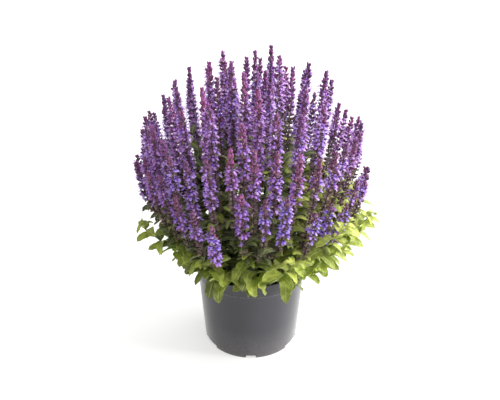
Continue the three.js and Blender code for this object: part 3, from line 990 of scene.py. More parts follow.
# Small leaves that the frame leaves out: their reach from the lowest to the highest, and against it their
# width, rise and drop.
SMALL_LEAVES = {
    "between": ((42, 37), 0.5, 0.3, 0.1),
    "joint": ((32, 30), 0.45, 0.3, -0.05),
    "bract": ((36, 24), 0.45, 0.5, -0.2),
    "shoot": ((43, 34), 0.5, 0.3, 0.15),
    "tuft": ((20, 20), 0.5, 0.8, -0.1),
    "inner shoot": ((42, 30), 0.45, 0.7, -0.45),
}
SMALL_VARIETY = {"reach": (0.18, 3), "rise": (0.12, 5), "drop": (0.25, 9)}
SMALL_TURN = 0.35  # most by which a small leaf stands off its place in the pair
SMALL_ROOT = 0.8  # how far from the middle of its stem it starts, against a large leaf
SMALL_CREST = 0.5
SMALL_CALM = 0.35  # how much of the waves of a large leaf it has

# How dark or bright leaves are laid, from the darkest to the brightest: partly by their age, and partly as
# painted shade on leaves inside the clump and painted light on the right side.
DARK = -0.8
DIM = -0.6
DULL = -0.1
BRIGHT = 0.3
BRIGHTEST = 0.5

BRACT_PITCH = 17
BRACT_START = 0.6
BRACT_TURN = 0.4
# shares of the way to the right over which bracts turn from painted shade to painted light
PAINTED_LIGHT_BRACTS = (0.2, 0.9)
JOINT_WAYS = (-1.2, 1.2)
JOINT_TURN = 1.1
JOINT_VARIETY = 0.5
JOINT_YOUTH = 0.1

# Shoots without flowers beside the stems of the outer ring, as (turn, height, lean, pairs).
LOW_SHOOTS = [(0.04, 58, 6, 3)]
FRONT_SHOOTS = [(-0.06, 104, 2, 3)]
WIDE_SHOOTS = [(0.22, 46, 54, 3), (-0.05, 84, 70, 4)]
FAR_SHOOTS = [(-0.2, 138, 112, 5)]
SUNNY_SHOOTS = [(0.1, 178, 132, 6), (-0.2, 142, 132, 6), (0.3, 112, 124, 5)]
SHOOT_ROOT = 6
SHOOT_RINGS = 10
SHOOT_SIDES = 6
SHOOT_CIRCLE = 92
SHOOT_REACH = 204
SHOOT_STALK = (1.6, 0.1)  # radius at the foot, and ripeness
SHOOT_TIP = 0.9
SHOOT_HANDLE = (0.62, 0.08)  # how high and how far out a shoot is drawn before it bows
SHOOT_LEAVES = (0.5, 0.96)  # shares of a shoot between which its leaves stand
SHOOT_VARIETY = {"turn": (0.06, 0), "foot": (4, 1), "height": (0.2, 2), "lean": (0.15, 4)}
BOW = 0.42  # most by which a shoot bows out, and the leans between which it comes to that
BOW_LEANS = (30, 90)
TUFT_LEAVES = 3
TUFT_TURN = 0.8
TUFT_VARIETY = 0.3
INNER_SHOOT_BELOW = 138  # under the dome of spike tips
INNER_SHOOT_PITCH = 21
INNER_SHOOT_STALK = (1.8, 0.4)
INNER_SHOOT_HANDLE = (0.5, 0.3)
INNER_SHOOT_REACH = (0.8, 0.95)
INNER_SHOOT_LEAVES = (0.25, 0.99)
INNER_SHOOT_VARIETY = 15


def blade_half(share, width):
    """Half the width of a blade at a share of its length, with its short petiole."""
    full = raised(np.sin(math.pi * lerp(BLADE_BASE, 1, share)), BLADE_FULLNESS)
    half = lerp(PETIOLE, width / 2 * full, smooth(0.0, BLADE_OPENS, share))
    return np.maximum(half, LEAF_TIP)


def leaf_face(leaf, looks, rows, columns):
    """The points of a leaf on its arched midrib, toothed, waved and folded up along the rib, and the way over
    it at each row."""
    start, calm = leaf["from"], leaf.get("calm", 1.0)
    sway, second, ripple, roll, twist = (
        draw(leaf["seed"] + LEAF_DRAWS[kind]) for kind in ("sway", "second sway", "ripple", "roll", "twist")
    )
    out, across = heading(leaf["angle"]), np.cross(UP, heading(leaf["angle"]))
    rib = Curve(start, start + out * leaf["crest"] * leaf["reach"] + UP * leaf["rise"],
                start + out * leaf["reach"] - UP * leaf["drop"])
    share, side = np.linspace(0, 1, rows), np.linspace(-1, 1, columns)
    points, along, _, _ = rib.places(share * rib.length, UP)
    sway = sway * np.sin(math.pi * share) + second * np.sin(2 * math.pi * share)
    points = points + (SWAY * leaf["reach"] * sway)[:, None] * across
    over = np.cross(along, across)
    turn = ((ROLL * roll + TWIST * twist * share) * smooth(*TURN_START, share))[:, None]
    across, over = across * np.cos(turn) + over * np.sin(turn), over * np.cos(turn) - across * np.sin(turn)

    teeth = (np.abs(np.sin(math.pi * looks.teeth * share)) - 0.5) * (rows > 2 * looks.teeth)
    teeth = 1 + looks.tooth_depth * teeth * smooth(*TEETH_START, share)
    half = (blade_half(share, leaf["width"]) * teeth)[:, None]
    wave = calm * LEAF_WAVE * (-np.cos(LEAF_WAVES * math.pi * share))
    wave = wave * smooth(*WAVE_START, share) * smooth(*WAVE_END, share)
    phase = math.pi * (LEAF_RIPPLES * share + 2 * ripple)
    ripple = calm * LEAF_RIPPLE * np.sin(phase) * smooth(*RIPPLE_START, share)
    fold = LEAF_FOLD * half * raised(np.abs(side), LEAF_FOLD_CURVE)
    height = fold + wave[:, None] * side + ripple[:, None] * side**2
    aside = half * side * (1 - LEAF_CURL * np.abs(side) ** 2)
    return points[:, None] + aside[..., None] * across[:, None] + height[..., None] * over[:, None], over


def add_leaf(skin, leaf, looks, finish, rows, columns):
    """A leaf with an upper face, an underside and a rim."""
    middle, over = leaf_face(leaf, looks, rows, columns)
    slope = 0.5 * looks.thickness / MM * over[:, None]
    faces, under = grid_faces(rows, columns), rows * columns
    edge = np.concatenate([
        np.arange(columns),
        np.arange(1, rows) * columns + columns - 1,
        np.arange(columns - 2, -1, -1) + (rows - 1) * columns,
        np.arange(rows - 2, 0, -1) * columns,
    ])
    onward = np.roll(edge, -1)
    rim = np.stack([edge, onward, onward + under, edge + under], axis=-1)
    # The tone holds a leaf's chance and age, painted shade on leaves inside the clump and painted light on
    # the right side.
    varied = 0.5 + TONE_VARIETY * draw(leaf["seed"] + LEAF_DRAWS["tone"]) + leaf.get("youth_and_shading", 0.0)
    skin.add(
        np.concatenate([(middle + slope).reshape(-1, 3), (middle - slope).reshape(-1, 3)]),
        [faces[:, ::-1], faces + under, rim],
        finish,
        tone=np.clip(varied + PAINTED_LIGHT_TONE * float(smooth(*PAINTED_LIGHT_SIDE, leaf["from"][0])), 0, 1),
        along=np.tile(np.repeat(np.linspace(0, 1, rows), columns), 2),
        across=np.tile(np.linspace(-1, 1, columns), 2 * rows),
        blush=np.repeat([0.0, 1.0], under),
    )


def add_stalk(skin, stem, leaves):
    """The four-cornered green stalk, a little thicker where leaves leave it."""
    distances = np.linspace(GAP, stem["green"], STALK_RINGS)
    radii = lerp(STEM["base_radius"], STEM["top_radius"], distances / stem["green"])
    for leaf in leaves:
        swelling = -(((distances - leaf["joint"]) / KNOT_LENGTH) ** 2)
        radii = radii * (1 + KNOT * np.exp(swelling, out=swelling))
    corners = (np.arange(4)[:, None] * math.pi / 2 + math.pi / 4 + np.array(STALK_CORNERS)).ravel()
    points = tube(stem["axis"], distances, STALK_INSET * radii, stem["out"], corners)
    share = np.repeat(distances / stem["axis"].length, len(corners))
    faces = grid_faces(len(distances), len(corners), closed=True)
    skin.add(points, [faces], BARK, along=share * STALK_RIPENESS)


def crosswise(n, side, turned=0):
    """The turn of one leaf of the nth pair: every pair stands across the one below it."""
    return (n % 2 + 2 * side + turned) * math.pi / 2


def small_leaf(kind, point, angle, seed, up=0, youth_and_shading=0.0):
    """A leaf that the frame leaves out, with its own differences, at a share of the way up."""
    reaches, slim, rise, drop = SMALL_LEAVES[kind]
    varied = {key: most * draw(seed + more) for key, (most, more) in SMALL_VARIETY.items()}
    reach = lerp(*reaches, up) * (1 + varied["reach"])
    return {
        "seed": seed,
        "from": point + heading(angle) * LEAF_ROOT * SMALL_ROOT,
        "angle": angle,
        "reach": reach,
        "width": slim * reach,
        "crest": SMALL_CREST,
        "rise": reach * (rise + varied["rise"]),
        "drop": reach * (drop + varied["drop"]),
        "youth_and_shading": youth_and_shading,
        "calm": SMALL_CALM,
    }


def leaves_between(stem):
    """The small pairs up the green part of a stem."""
    leaves = []
    outer = stem["ring"] is RINGS[-1]
    for n, up in enumerate(stem["ring"]["more"]):
        point = stem["axis"].places(up * stem["green"], stem["out"])[0]
        for side in (0, 1):
            seed = seed_of(stem, "leaf between", n * 2 + side)
            angle = stem["angle"] + crosswise(n, side) + SMALL_TURN * draw(seed)
            # Leaves of the inner rings are painted dimmer: painted shade inside the clump.
            leaves.append(small_leaf("between", point, angle, seed, outer, DULL if outer else DIM))
    return leaves


def bracts(spike, seed):
    """The pairs of small leaves up the bare foot of a spike, shorter from pair to pair, painted dark as shade
    except on the right side, where they are painted lighter as lit."""
    leaves = []
    bare = spike["axis"].length - spike["spike"] - spike["start"]
    pairs = max(1, round(bare / BRACT_PITCH))
    youth_and_shading = lerp(DIM, BRIGHT, float(smooth(*PAINTED_LIGHT_BRACTS, spike["out"][0])))
    for n in range(pairs):
        up = (n + BRACT_START) / pairs
        point = spike["axis"].places(spike["start"] + up * bare, spike["out"])[0]
        for side in (0, 1):
            place = n * 2 + side
            angle = seed + crosswise(n, side) + BRACT_TURN * draw(seed * 3 + place)
            leaves.append(small_leaf("bract", point, angle, seed * 13 + place, up, youth_and_shading))
    return leaves


def leaves_at_joints(stem):
    """The small pairs where side spikes branch off."""
    leaves = []
    for i in range(len(stem["ring"]["sides"])):
        point = stem["axis"].places(side_joint(stem, i), stem["out"])[0]
        for side in (0, 1):
            seed = seed_of(stem, "leaf at joint", i * 2 + side)
            angle = stem["angle"] + JOINT_WAYS[side] + i * JOINT_TURN + JOINT_VARIETY * draw(seed)
            leaves.append(small_leaf("joint", point, angle, seed, i, JOINT_YOUTH))
    return leaves


def shoots(stem):
    """The shoots beside a stem of the outer ring, by its way out. The sunny side has more and taller ones."""
    across, back = stem["out"][:2]
    kinds = (
        (LOW_SHOOTS, stem["number"] % 2 == 1 and back > -0.6),
        (FRONT_SHOOTS, back < -0.9),
        (WIDE_SHOOTS, abs(across) > 0.3),
        (FAR_SHOOTS, abs(across) > 0.7),
        (SUNNY_SHOOTS, across > 0.3 and back < 0.2),
    )
    return [shoot for kind, there in kinds if there for shoot in kind]


def add_shoot_stalk(skin, axis, out, radius, ripeness):
    """The thin stalk of a shoot."""
    distances = np.linspace(0, axis.length, SHOOT_RINGS)
    radii = lerp(radius, SHOOT_TIP, distances / axis.length)
    points = tube(axis, distances, radii, out, round_circle(SHOOT_SIDES))
    skin.add(points, [grid_faces(SHOOT_RINGS, SHOOT_SIDES, closed=True)], BARK, along=ripeness)


def add_inner_shoot(skin, stem, looks):
    """A leafy shoot without flowers, its leaves painted dark as shade, that fills the gap beside a stem of an
    inner ring.
    """
    seed = seed_of(stem, "inner shoot")
    angle = stem["angle"] + math.pi / stem["ring"]["count"]
    out = heading(angle)
    foot = out * (stem["ring"]["base"] + SHOOT_ROOT) + UP * (SOIL_TOP - SHOOT_ROOT)
    reach = stem["reach"] * lerp(*INNER_SHOOT_REACH, 0.5 + 0.5 * draw(seed))
    height = dome_height(reach) - INNER_SHOOT_BELOW + INNER_SHOOT_VARIETY * draw(seed + 1)
    tip = out * reach + UP * height
    up, outward = INNER_SHOOT_HANDLE
    axis = Curve(foot, foot + UP * up * (tip[2] - foot[2]) + out * outward * reach, tip)
    add_shoot_stalk(skin, axis, out, *INNER_SHOOT_STALK)
    first, last = INNER_SHOOT_LEAVES
    pairs = round((1 - first) * axis.length / INNER_SHOOT_PITCH)
    for n in range(pairs):
        up = lerp(first, last, n / (pairs - 1))
        point = axis.places(up * axis.length, out)[0]
        for side in (0, 1):
            way = angle + crosswise(n, side) + SMALL_TURN * draw(seed + 7 * side + n)
            leaf = small_leaf("inner shoot", point, way, seed * 3 + n * 2 + side, up, DARK)
            add_leaf(skin, leaf, looks, BLADE, *BRACT_GRID)


def add_shoot(skin, stem, i, shoot, looks):
    """A leafy shoot out of the soil near the rim: a thin stalk, its pairs of leaves and a bright tuft."""
    turn, height, lean, pairs = shoot
    seed = seed_of(stem, "shoot", i * 5)
    varied = {key: most * draw(seed + more) for key, (most, more) in SHOOT_VARIETY.items()}
    angle = stem["angle"] + turn + varied["turn"]
    out = heading(angle)
    foot = out * (SHOOT_CIRCLE + varied["foot"]) + UP * (SOIL_TOP - SHOOT_ROOT)
    height = height * (1 + varied["height"])
    most = SHOOT_REACH / max(abs(stem["out"][0]), abs(stem["out"][1])) - SHOOT_CIRCLE
    lean = min(lean * (1 + varied["lean"]), most)
    bow = BOW * float(smooth(*BOW_LEANS, lean))
    up, outward = SHOOT_HANDLE
    handle = foot + UP * (up - 0.5 * bow) * height + out * (outward + bow) * lean
    axis = Curve(foot, handle, foot + UP * height + out * lean)
    add_shoot_stalk(skin, axis, out, *SHOOT_STALK)
    for n in range(pairs):
        up = n / (pairs - 1)
        point = axis.places(lerp(*SHOOT_LEAVES, up) * axis.length, out)[0]
        for side in (0, 1):
            way = angle + crosswise(n, side, 1) + SMALL_TURN * draw(seed + 7 * side + n)
            leaf = small_leaf("shoot", point, way, seed * 5 + n * 2 + side, up, lerp(DULL, BRIGHT, up))
            add_leaf(skin, leaf, looks, BLADE, *SHOOT_GRID)
    top = axis.places(axis.length, out)[0]
    for k in range(TUFT_LEAVES):
        way = angle + k * TAU / TUFT_LEAVES + TUFT_TURN + TUFT_VARIETY * draw(seed + 7 * k)
        leaf = small_leaf("tuft", top, way, seed * 5 + 40 + k, youth_and_shading=BRIGHTEST)
        add_leaf(skin, leaf, looks, BLADE, *SMALL_GRID)


def make_foliage(looks):
    """One piece for each leafy stem: its stalk, its leaves and, by the rim, the young shoots beside it."""
    finishes = [leaf_finish(looks), stalk_finish(looks)]
    for stem in grow_clump():
        skin = Skin()
        leaves = kept_leaves(stem)
        add_stalk(skin, stem, leaves)
        for leaf in leaves:
            add_leaf(skin, leaf, looks, BLADE, *LEAF_GRID)
        for leaf in leaves_between(stem):
            add_leaf(skin, leaf, looks, BLADE, *SMALL_GRID)
        if stem["ring"] is RINGS[-1]:
            for i, shoot in enumerate(shoots(stem)):
                add_shoot(skin, stem, i, shoot, looks)
        elif stem["ring"] is not RINGS[0]:
            add_inner_shoot(skin, stem, looks)
        piece = skin.build(f"stem_{stem['number']:02d}_foliage", finishes, sharp=FOLIAGE_CREASE)
        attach(piece, "root")
        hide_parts(node_name(stem, "leafy"))


# ---------------------------------------------------------------- florets and spikes, in millimetres

PETAL, CALYX, STALK, LEAF = range(4)  # the finishes of flowering pieces

# The parts of a floret along +X. Rings are (x, z, radius), and rows (x, z, half width, fall of the edges).
CALYX_RINGS = [(0, 0, 0.35 * 2.1), (0.35 * 6.6, 0.1, 0.8 * 2.1), (6.6, 0.3, 2.1)]
CALYX_TEETH = 0.8
THROAT_RINGS = [(4.0, 0.3, 0.9), (7.8, 0.6, 1.25)]
HOOD_ROWS = [(7.4, 1.7, 1.1, 0.6), (9.2, 3.5, 1.1, 0.9), (11.2, 4.2, 0.85, 0.8), (12.6, 3.2, 0.25, 0.2)]
LIP_ROWS = [(7.5, -0.7, 1.1, -0.3), (9.1, -1.5, 1.4, 0.2), (10.5, -3.0, 1.8, 0.5), (10.9, -4.6, 1.0, 0.2)]
LOBE = [(7.5, 1.1, -0.5), (8.5, 2.6, -0.6), (9.6, 2.7, -1.8), (9.1, 1.5, -1.7)]
STYLE = [(12.0, 0.15, 3.4), (12.0, -0.15, 3.4), (14.6, -0.08, 4.1), (14.6, 0.08, 4.1)]
BUD_RINGS = [(0, 0, 0.7), (2.4, 0.1, 1.6), (5.2, 0.3, 1.5)]
BUD_TIP = (7.2, 0, 0.5)
SPENT_RINGS = [(0, 0, 0.7), (2.3, 0.1, 1.6), (6.2, 0.4, 2.1)]
SPENT_TEETH = 0.9
FLORET_SIDES = 6
THROAT_SIDES = 4
RIDGE_AHEAD = 0.2
QUAD = np.array([(0, 1, 2, 3)])

# The florets of a spike, by stage. Up a spike come first the spent ones, then the open ones, then the buds.
OPEN, SPENT, BUD = range(3)
OPEN_TO = (0.6, 0.84)
SPENT_TO = (0.0, 0.34)
SPENT_MORE = 0.6  # on the sunny side
SPENT_SHARE = 0.1  # of the florets among the open ones: those that have dropped their corollas
RESTING_SHARE = 0.1  # and those that have not opened yet
FEWEST_WHORLS = 4
WHORL_CROWDING = 0.25
TIP_LENGTH = 5
CYME_SPREAD = 0.66
FLORET_START = 0.6  # from the middle of the axis
FLORET_VARIETY = {"place": 0.7, "turn": 0.13, "age": 0.06, "rise": 0.17, "tone": 0.27, "blush": 0.12}
OPEN_RISE = (0.35, 0.25)  # at the foot of a spike, and by how much more at its tip
SPENT_RISE = 0.5
BUD_RISE = (0.55, 0.6)
OPEN_SIZE = (1.0, 0.94)
BUD_SIZE = (1.15, 0.95)
HIGH_SIZE = (0.97, 1.12)
SPIKE_SIZE = (0.94, 1.06)
FLORET_SIZE = (0.84, 1.1)

PINK_HEIGHTS = (360, 560)  # between these heights of their tips spikes turn from violet to pink and paler: partly their own colour, partly painted light on the top of the clump
# at these shares of the way to either side spikes are painted paler and pinker: painted light, as washed out
# by the lamps
BESIDE = (0.4, 1.0)
BLUSH = (0.5, 0.35)  # of a spike by chance, and by where it stands: painted light high up and at the sides
BLUSH_CHANCE = (0.9, 1.4)
FRESH_BLUSH = (0.35, 0.65)
LEAST_FRESH = 0.25  # below this blush calyces turn to the colour of spent ones
SPENT_BLUSH = (0.0, 0.14)
BARE_BLUSH = (0.0, 0.08)
PALENESS = (0.1, 0.52)  # low and high on the clump, and more at its sides: painted light on the top and sides, painted shade low down
PALE_BESIDE = 0.36
PALE_VARIETY = (-0.12, 0.22)

AXIS_RINGS = (9, 14)  # below the first whorl and above it
AXIS_SIDES = 6
AXIS_RADII = (1.9, 1.5, 0.6)
AXIS_RIPENESS = (0.75, 1.0)
BARE_FROM = 0.25
BARE_PITCH = 8
BARE_FEWEST = 2
BARE_TURNS = (0, 0.7, math.pi, math.pi + 0.7)
BARE_VARIETY = {"turn": 0.2, "rise": 0.15}
BARE_SIZE = (0.95, 1.25)


def loft_rings(rings, sides, zigzag=0.0):
    """Points and quads of an open tube along +X, with its last ring cut in teeth."""
    points = [
        (x + (zigzag * (-1) ** j if k == len(rings) - 1 else 0), r * math.cos(a), z + r * math.sin(a))
        for k, (x, z, r) in enumerate(rings)
        for j, a in enumerate(round_circle(sides))
    ]
    return np.array(points), grid_faces(len(rings), sides, closed=True)


def strip(rows):
    """Points and quads of a sheet along +X with a ridge down its middle."""
    points = [
        point
        for x, z, half, fall in rows
        for point in ((x, half, z - fall), (x + RIDGE_AHEAD, 0, z), (x, -half, z - fall))
    ]
    return np.array(points), grid_faces(len(rows), 3)


class Floret:
    """The pattern of a floret, which lies along +X with its upper side to +Z."""

    def __init__(self):
        self.points, self.faces, self.finishes = [], {3: [], 4: []}, {3: [], 4: []}
        self.count = 0

    def add(self, points, faces, finish):
        """Adds points, and faces of one size."""
        corners = faces.shape[1]
        self.points.append(points)
        self.faces[corners].append(faces + self.count)
        self.finishes[corners].append(np.full(len(faces), finish))
        self.count += len(points)
        return self

    def scatter(self, skin, origins, frames, sizes, tones, blushes):
        """Adds a copy of the pattern for each origin, frame and size."""
        points = np.concatenate(self.points)
        along = points[:, 0] / points[:, 0].max()
        copies = np.einsum("pk,nkj->npj", points, frames) * sizes[:, None, None] + origins[:, None]
        n, m = copies.shape[:2]
        shift = (np.arange(n) * m)[:, None, None]
        kinds = [corners for corners in self.faces if self.faces[corners]]
        faces = [(np.concatenate(self.faces[corners]) + shift).reshape(-1, corners) for corners in kinds]
        finishes = [np.tile(np.concatenate(self.finishes[corners]), n) for corners in kinds]
        skin.add(copies, faces, finishes, np.repeat(tones, m), np.tile(along, n), 0.0, np.repeat(blushes, m))


def open_floret():
    """A two-lipped corolla out of its calyx: a hooded upper lip, a lobed lower one and the style."""
    floret = Floret()
    floret.add(*loft_rings(CALYX_RINGS, FLORET_SIDES, CALYX_TEETH), CALYX)
    floret.add(*loft_rings(THROAT_RINGS, THROAT_SIDES), PETAL)
    floret.add(*strip(HOOD_ROWS), PETAL)
    floret.add(*strip(LIP_ROWS), PETAL)
    for side in (1, -1):
        floret.add(np.array(LOBE) * (1, side, 1), QUAD, PETAL)
    return floret.add(np.array(STYLE), QUAD, PETAL)


def spent_calyx():
    """A calyx whose corolla has dropped."""
    return Floret().add(*loft_rings(SPENT_RINGS, FLORET_SIDES, SPENT_TEETH), CALYX)


def closed_bud():
    """A bud still shut in its calyx."""
    points, faces = loft_rings(BUD_RINGS, FLORET_SIDES)
    tip = np.vstack([points[-FLORET_SIDES:], BUD_TIP])
    return Floret().add(points, faces, CALYX).add(tip, fan_faces(0, FLORET_SIDES, FLORET_SIDES), CALYX)


def add_spike_axis(skin, spike, first):
    """The thin axis of a spike, from where it starts to its tip."""
    start, end = spike["start"], spike["axis"].length
    below, above = AXIS_RINGS
    distances = np.concatenate([np.linspace(start, first, below), np.linspace(first, end - 1, above)[1:]])
    radii = np.interp(distances, [start, first, end], AXIS_RADII)
    points = tube(spike["axis"], distances, radii, spike["out"], round_circle(AXIS_SIDES))
    share = np.repeat(np.interp(distances, [0, end], AXIS_RIPENESS), AXIS_SIDES)
    skin.add(points, [grid_faces(len(distances), AXIS_SIDES, closed=True)], STALK, along=share)


def face_florets(places, turn, rise):
    """Where florets start and the ways they face, for places on their axis. They are turned round the axis
    and raised towards its tip, and their frames have rows forward, aside and upward."""
    point, along, out, aside = places
    outward = out * np.cos(turn)[:, None] + aside * np.sin(turn)[:, None]
    forward = outward * np.cos(rise)[:, None] + along * np.sin(rise)[:, None]
    upper = along * np.cos(rise)[:, None] - outward * np.sin(rise)[:, None]
    return point + outward * FLORET_START, np.stack([forward, np.cross(upper, forward), upper], axis=1)


def add_spike(skin, spike, seed, looks, patterns):
    """The axis of a spike and its whorls: spent calyces at its foot, open florets, and buds at its tip."""
    rng = np.random.default_rng(seed)
    axis, length = spike["axis"], spike["spike"]
    first = axis.length - length
    add_spike_axis(skin, spike, first)

    whorls = max(FEWEST_WHORLS, round(length * MM / looks.pitch))
    k = np.repeat(np.arange(whorls), looks.whorl)
    j = np.tile(np.arange(looks.whorl), whorls)
    n = len(k)
    share = np.clip(k / (whorls - 1), 0, 1)
    distance = first + (length - TIP_LENGTH) * (share + WHORL_CROWDING * share * (1 - share))
    places = axis.places(distance + rng.normal(0, FLORET_VARIETY["place"], n), spike["out"])
    half = looks.whorl / 2
    turn = (j >= half) * math.pi + ((j % half) - (half - 1) / 2) * CYME_SPREAD + (k % 2) * math.pi / 2
    turn = turn + rng.uniform(0, TAU) + rng.normal(0, FLORET_VARIETY["turn"], n)

    # High on the clump and at its sides spikes are painted paler and pinker, and low ones darker: painted
    # light and shade.
    high = float(smooth(*PINK_HEIGHTS, axis.controls[-1][2]))
    sunny = spike["out"][0]
    beside = float(smooth(*BESIDE, abs(sunny)))
    open_to = rng.uniform(*OPEN_TO)
    spent_to = rng.uniform(*SPENT_TO) * (1 + SPENT_MORE * sunny)
    by_chance, by_place = BLUSH
    blush = by_chance * rng.beta(*BLUSH_CHANCE) + by_place * max(high, beside)
    pale = lerp(*PALENESS, high) + PALE_BESIDE * beside + rng.uniform(*PALE_VARIETY)

    age = share + rng.normal(0, FLORET_VARIETY["age"], n)
    stage = np.where(age > open_to, BUD, np.where(age < spent_to, SPENT, OPEN))
    chance = rng.uniform(size=n)
    stage = np.where((stage == OPEN) & (chance < SPENT_SHARE + RESTING_SHARE), SPENT, stage)
    fresh = (chance > SPENT_SHARE) & (age > spent_to)

    top = np.clip((share - open_to) / (1 - open_to), 0, 1)
    open_rise = OPEN_RISE[0] + OPEN_RISE[1] * share
    bud_rise = BUD_RISE[0] + BUD_RISE[1] * top
    rise = np.where(stage == OPEN, open_rise, np.where(stage == SPENT, SPENT_RISE, bud_rise))
    rise = rise + rng.normal(0, FLORET_VARIETY["rise"], n)
    origins, frames = face_florets(places, turn, rise)
    scale = np.where(stage == BUD, lerp(*BUD_SIZE, top), lerp(*OPEN_SIZE, share)) * looks.floret
    scale = scale * lerp(*HIGH_SIZE, high) * rng.uniform(*SPIKE_SIZE) * rng.uniform(*FLORET_SIZE, n)
    tones = np.clip(rng.normal(pale, FLORET_VARIETY["tone"], n), 0, 1)
    blushes = FRESH_BLUSH[0] + FRESH_BLUSH[1] * blush + rng.normal(0, FLORET_VARIETY["blush"], n)
    blushes = np.clip(blushes, LEAST_FRESH, 1)
    blushes = np.where((stage == SPENT) & ~fresh, rng.uniform(*SPENT_BLUSH, n), blushes)
    for which, pattern in enumerate(patterns):
        some = stage == which
        if some.any():
            pattern.scatter(skin, origins[some], frames[some], scale[some], tones[some], blushes[some])
    add_bare_whorls(skin, spike, rng, first, looks, patterns[SPENT])


def add_bare_whorls(skin, spike, rng, first, looks, pattern):
    """The spent calyces up the foot of a spike, from which all corollas have dropped."""
    low = lerp(spike["start"], first, BARE_FROM)
    whorls = max(BARE_FEWEST, round((first - low) / BARE_PITCH))
    k = np.repeat(np.arange(whorls), len(BARE_TURNS))
    n = len(k)
    distance = lerp(low, first, k / whorls) + rng.normal(0, FLORET_VARIETY["place"], n)
    places = spike["axis"].places(distance, spike["out"])
    turn = np.tile(BARE_TURNS, whorls) + (k % 2) * math.pi / 2 + rng.normal(0, BARE_VARIETY["turn"], n)
    rise = SPENT_RISE + rng.normal(0, BARE_VARIETY["rise"], n)
    origins, frames = face_florets(places, turn, rise)
    scale = rng.uniform(*BARE_SIZE, n) * looks.floret
    pattern.scatter(skin, origins, frames, scale, np.zeros(n), rng.uniform(*BARE_BLUSH, n))


def make_blooms(looks, leaf_looks):
    """One piece for each flowering top: its spikes with their bracts, and the small leaves at the joints."""
    finishes = [petal_finish(looks), calyx_finish(looks), stalk_finish(looks), leaf_finish(leaf_looks)]
    patterns = (open_floret(), spent_calyx(), closed_bud())
    for stem in grow_clump():
        skin = Skin()
        spikes = [stem] + [grow_branch(stem, side, i) for i, side in enumerate(stem["ring"]["sides"])]
        for i, spike in enumerate(spikes):
            add_spike(skin, spike, seed_of(stem, "spike", i), looks, patterns)
            for leaf in bracts(spike, seed_of(stem, "bracts", i)):
                add_leaf(skin, leaf, leaf_looks, LEAF, *BRACT_GRID)
        for leaf in leaves_at_joints(stem):
            add_leaf(skin, leaf, leaf_looks, LEAF, *SMALL_GRID)
        piece = skin.build(f"stem_{stem['number']:02d}_bloom", finishes)
        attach(piece, "root")
        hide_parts(node_name(stem, "flowers"))


# ---------------------------------------------------------------- stage

CAMERA_PLACE = (0, -1.001709, 0.78985)
CAMERA_TILT = math.pi / 2 - 0.443
CAMERA_ROLL = 0.002
CAMERA_SENSOR = 36
FLOOR_SIZE = 30
FLOOR_POINTS = 9
FLOOR_DROP = 0.0005
KEY_WAY = (1.0, 0.35, 0.72)
SIDE_WAY = (1.0, -0.15, 0.24)
SKY_WAY = (1.3, 0.35, 0.8)  # the room is brightest this way
SKY_DIMMEST = -0.6  # cosine from that way at which the room is at its dimmest


def add_sun(name, way, strength, width):
    """An even soft light from one way."""
    light = bpy.data.lights.new(name, "SUN")
    light.energy = strength
    light.angle = width
    lamp = bpy.data.objects.new(name, light)
    lamp.rotation_euler = Vector(way).to_track_quat("Z", "Y").to_euler()
    bpy.context.scene.collection.objects.link(lamp)


def make_stage(looks):
    """The floor, the room's light, the two lamps and the camera."""
    scene = bpy.context.scene
    steps = np.linspace(-FLOOR_SIZE / 2, FLOOR_SIZE / 2, FLOOR_POINTS) / MM
    x, y = np.meshgrid(steps, steps)
    skin = Skin()
    skin.add(np.stack([x, y, np.zeros_like(x)], axis=-1), [grid_faces(FLOOR_POINTS, FLOOR_POINTS)], 0)
    floor = skin.build("floor", [floor_finish(looks)])
    floor.location.z = -FLOOR_DROP

    scene.world = bpy.data.worlds.new("room")
    scene.world.use_nodes = True
    nodes, links = scene.world.node_tree.nodes, scene.world.node_tree.links
    background = nodes["Background"]
    background.inputs["Color"].default_value = (1, 1, 1, 1)
    way = nodes.new("ShaderNodeVectorMath")
    way.operation = "DOT_PRODUCT"
    way.inputs[1].default_value = Vector(SKY_WAY).normalized()
    fade = nodes.new("ShaderNodeMapRange")
    reach = {"From Min": SKY_DIMMEST, "From Max": 1.0, "To Min": looks.sky_front, "To Max": looks.sky}
    for name, value in reach.items():
        fade.inputs[name].default_value = value
    links.new(nodes.new("ShaderNodeTexCoord").outputs["Generated"], way.inputs[0])
    links.new(way.outputs["Value"], fade.inputs["Value"])
    links.new(fade.outputs["Result"], background.inputs["Strength"])
    add_sun("key", KEY_WAY, looks.key, looks.key_spread)
    add_sun("side", SIDE_WAY, looks.side, looks.side_spread)

    camera = bpy.data.objects.new("camera", bpy.data.cameras.new("camera"))
    camera.data.sensor_width = CAMERA_SENSOR
    camera.data.lens = looks.lens
    camera.location = CAMERA_PLACE
    camera.rotation_euler = (CAMERA_TILT, 0, CAMERA_ROLL)
    scene.collection.objects.link(camera)
    scene.camera = camera
    scene.view_settings.view_transform = "Standard"


# ---------------------------------------------------------------- operators and panel


class SALVIA_OT_pot(Operator):
    """Build the moulded pot over its frame"""

    bl_idname = "salvia.pot"
    bl_label = "Pot"

    def execute(self, context):
        make_pot(plain(context.scene.salvia.pot))
        return {"FINISHED"}


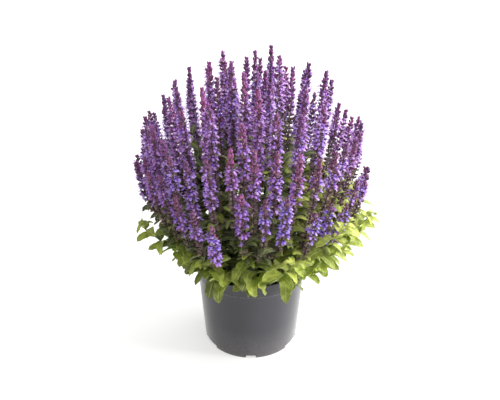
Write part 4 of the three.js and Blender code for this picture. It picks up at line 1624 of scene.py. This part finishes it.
class SALVIA_OT_soil(Operator):
    """Build the compost over its frame"""

    bl_idname = "salvia.soil"
    bl_label = "Soil"

    def execute(self, context):
        make_soil(plain(context.scene.salvia.soil))
        return {"FINISHED"}


class SALVIA_OT_foliage(Operator):
    """Build the leafy stems over their frame"""

    bl_idname = "salvia.foliage"
    bl_label = "Leafy stems"

    def execute(self, context):
        make_foliage(plain(context.scene.salvia.foliage))
        return {"FINISHED"}


class SALVIA_OT_blooms(Operator):
    """Build the flowering tops over their frame"""

    bl_idname = "salvia.blooms"
    bl_label = "Flowering tops"

    def execute(self, context):
        make_blooms(plain(context.scene.salvia.blooms), plain(context.scene.salvia.foliage))
        return {"FINISHED"}


class SALVIA_OT_stage(Operator):
    """Build the floor, the lights and the camera"""

    bl_idname = "salvia.stage"
    bl_label = "Stage"

    def execute(self, context):
        make_stage(plain(context.scene.salvia.stage))
        return {"FINISHED"}


class SALVIA_PT_panel(Panel):
    """Settings and steps of the potted salvia"""

    bl_idname = "SALVIA_PT_panel"
    bl_label = "Potted salvia"
    bl_space_type = "VIEW_3D"
    bl_region_type = "UI"
    bl_category = "Salvia"

    def draw(self, context):
        for part in ("pot", "soil", "foliage", "blooms", "stage"):
            box = self.layout.box()
            box.operator(f"salvia.{part}")
            group = getattr(context.scene.salvia, part)
            for key in type(group).__annotations__:
                box.prop(group, key)


CLASSES = (
    PotSettings,
    SoilSettings,
    FoliageSettings,
    BloomSettings,
    StageSettings,
    SalviaSettings,
    SALVIA_OT_pot,
    SALVIA_OT_soil,
    SALVIA_OT_foliage,
    SALVIA_OT_blooms,
    SALVIA_OT_stage,
    SALVIA_PT_panel,
)


def register():
    """Makes the classes and the settings known."""
    for cls in CLASSES:
        bpy.utils.register_class(cls)
    bpy.types.Scene.salvia = PointerProperty(type=SalviaSettings)


def unregister():
    """Takes the classes and the settings away."""
    del bpy.types.Scene.salvia
    for cls in reversed(CLASSES):
        bpy.utils.unregister_class(cls)


def main():
    """Builds everything."""
    register()
    bpy.ops.salvia.stage()
    bpy.ops.salvia.pot()
    bpy.ops.salvia.soil()
    bpy.ops.salvia.foliage()
    bpy.ops.salvia.blooms()


if __name__ == "__main__":
    main()
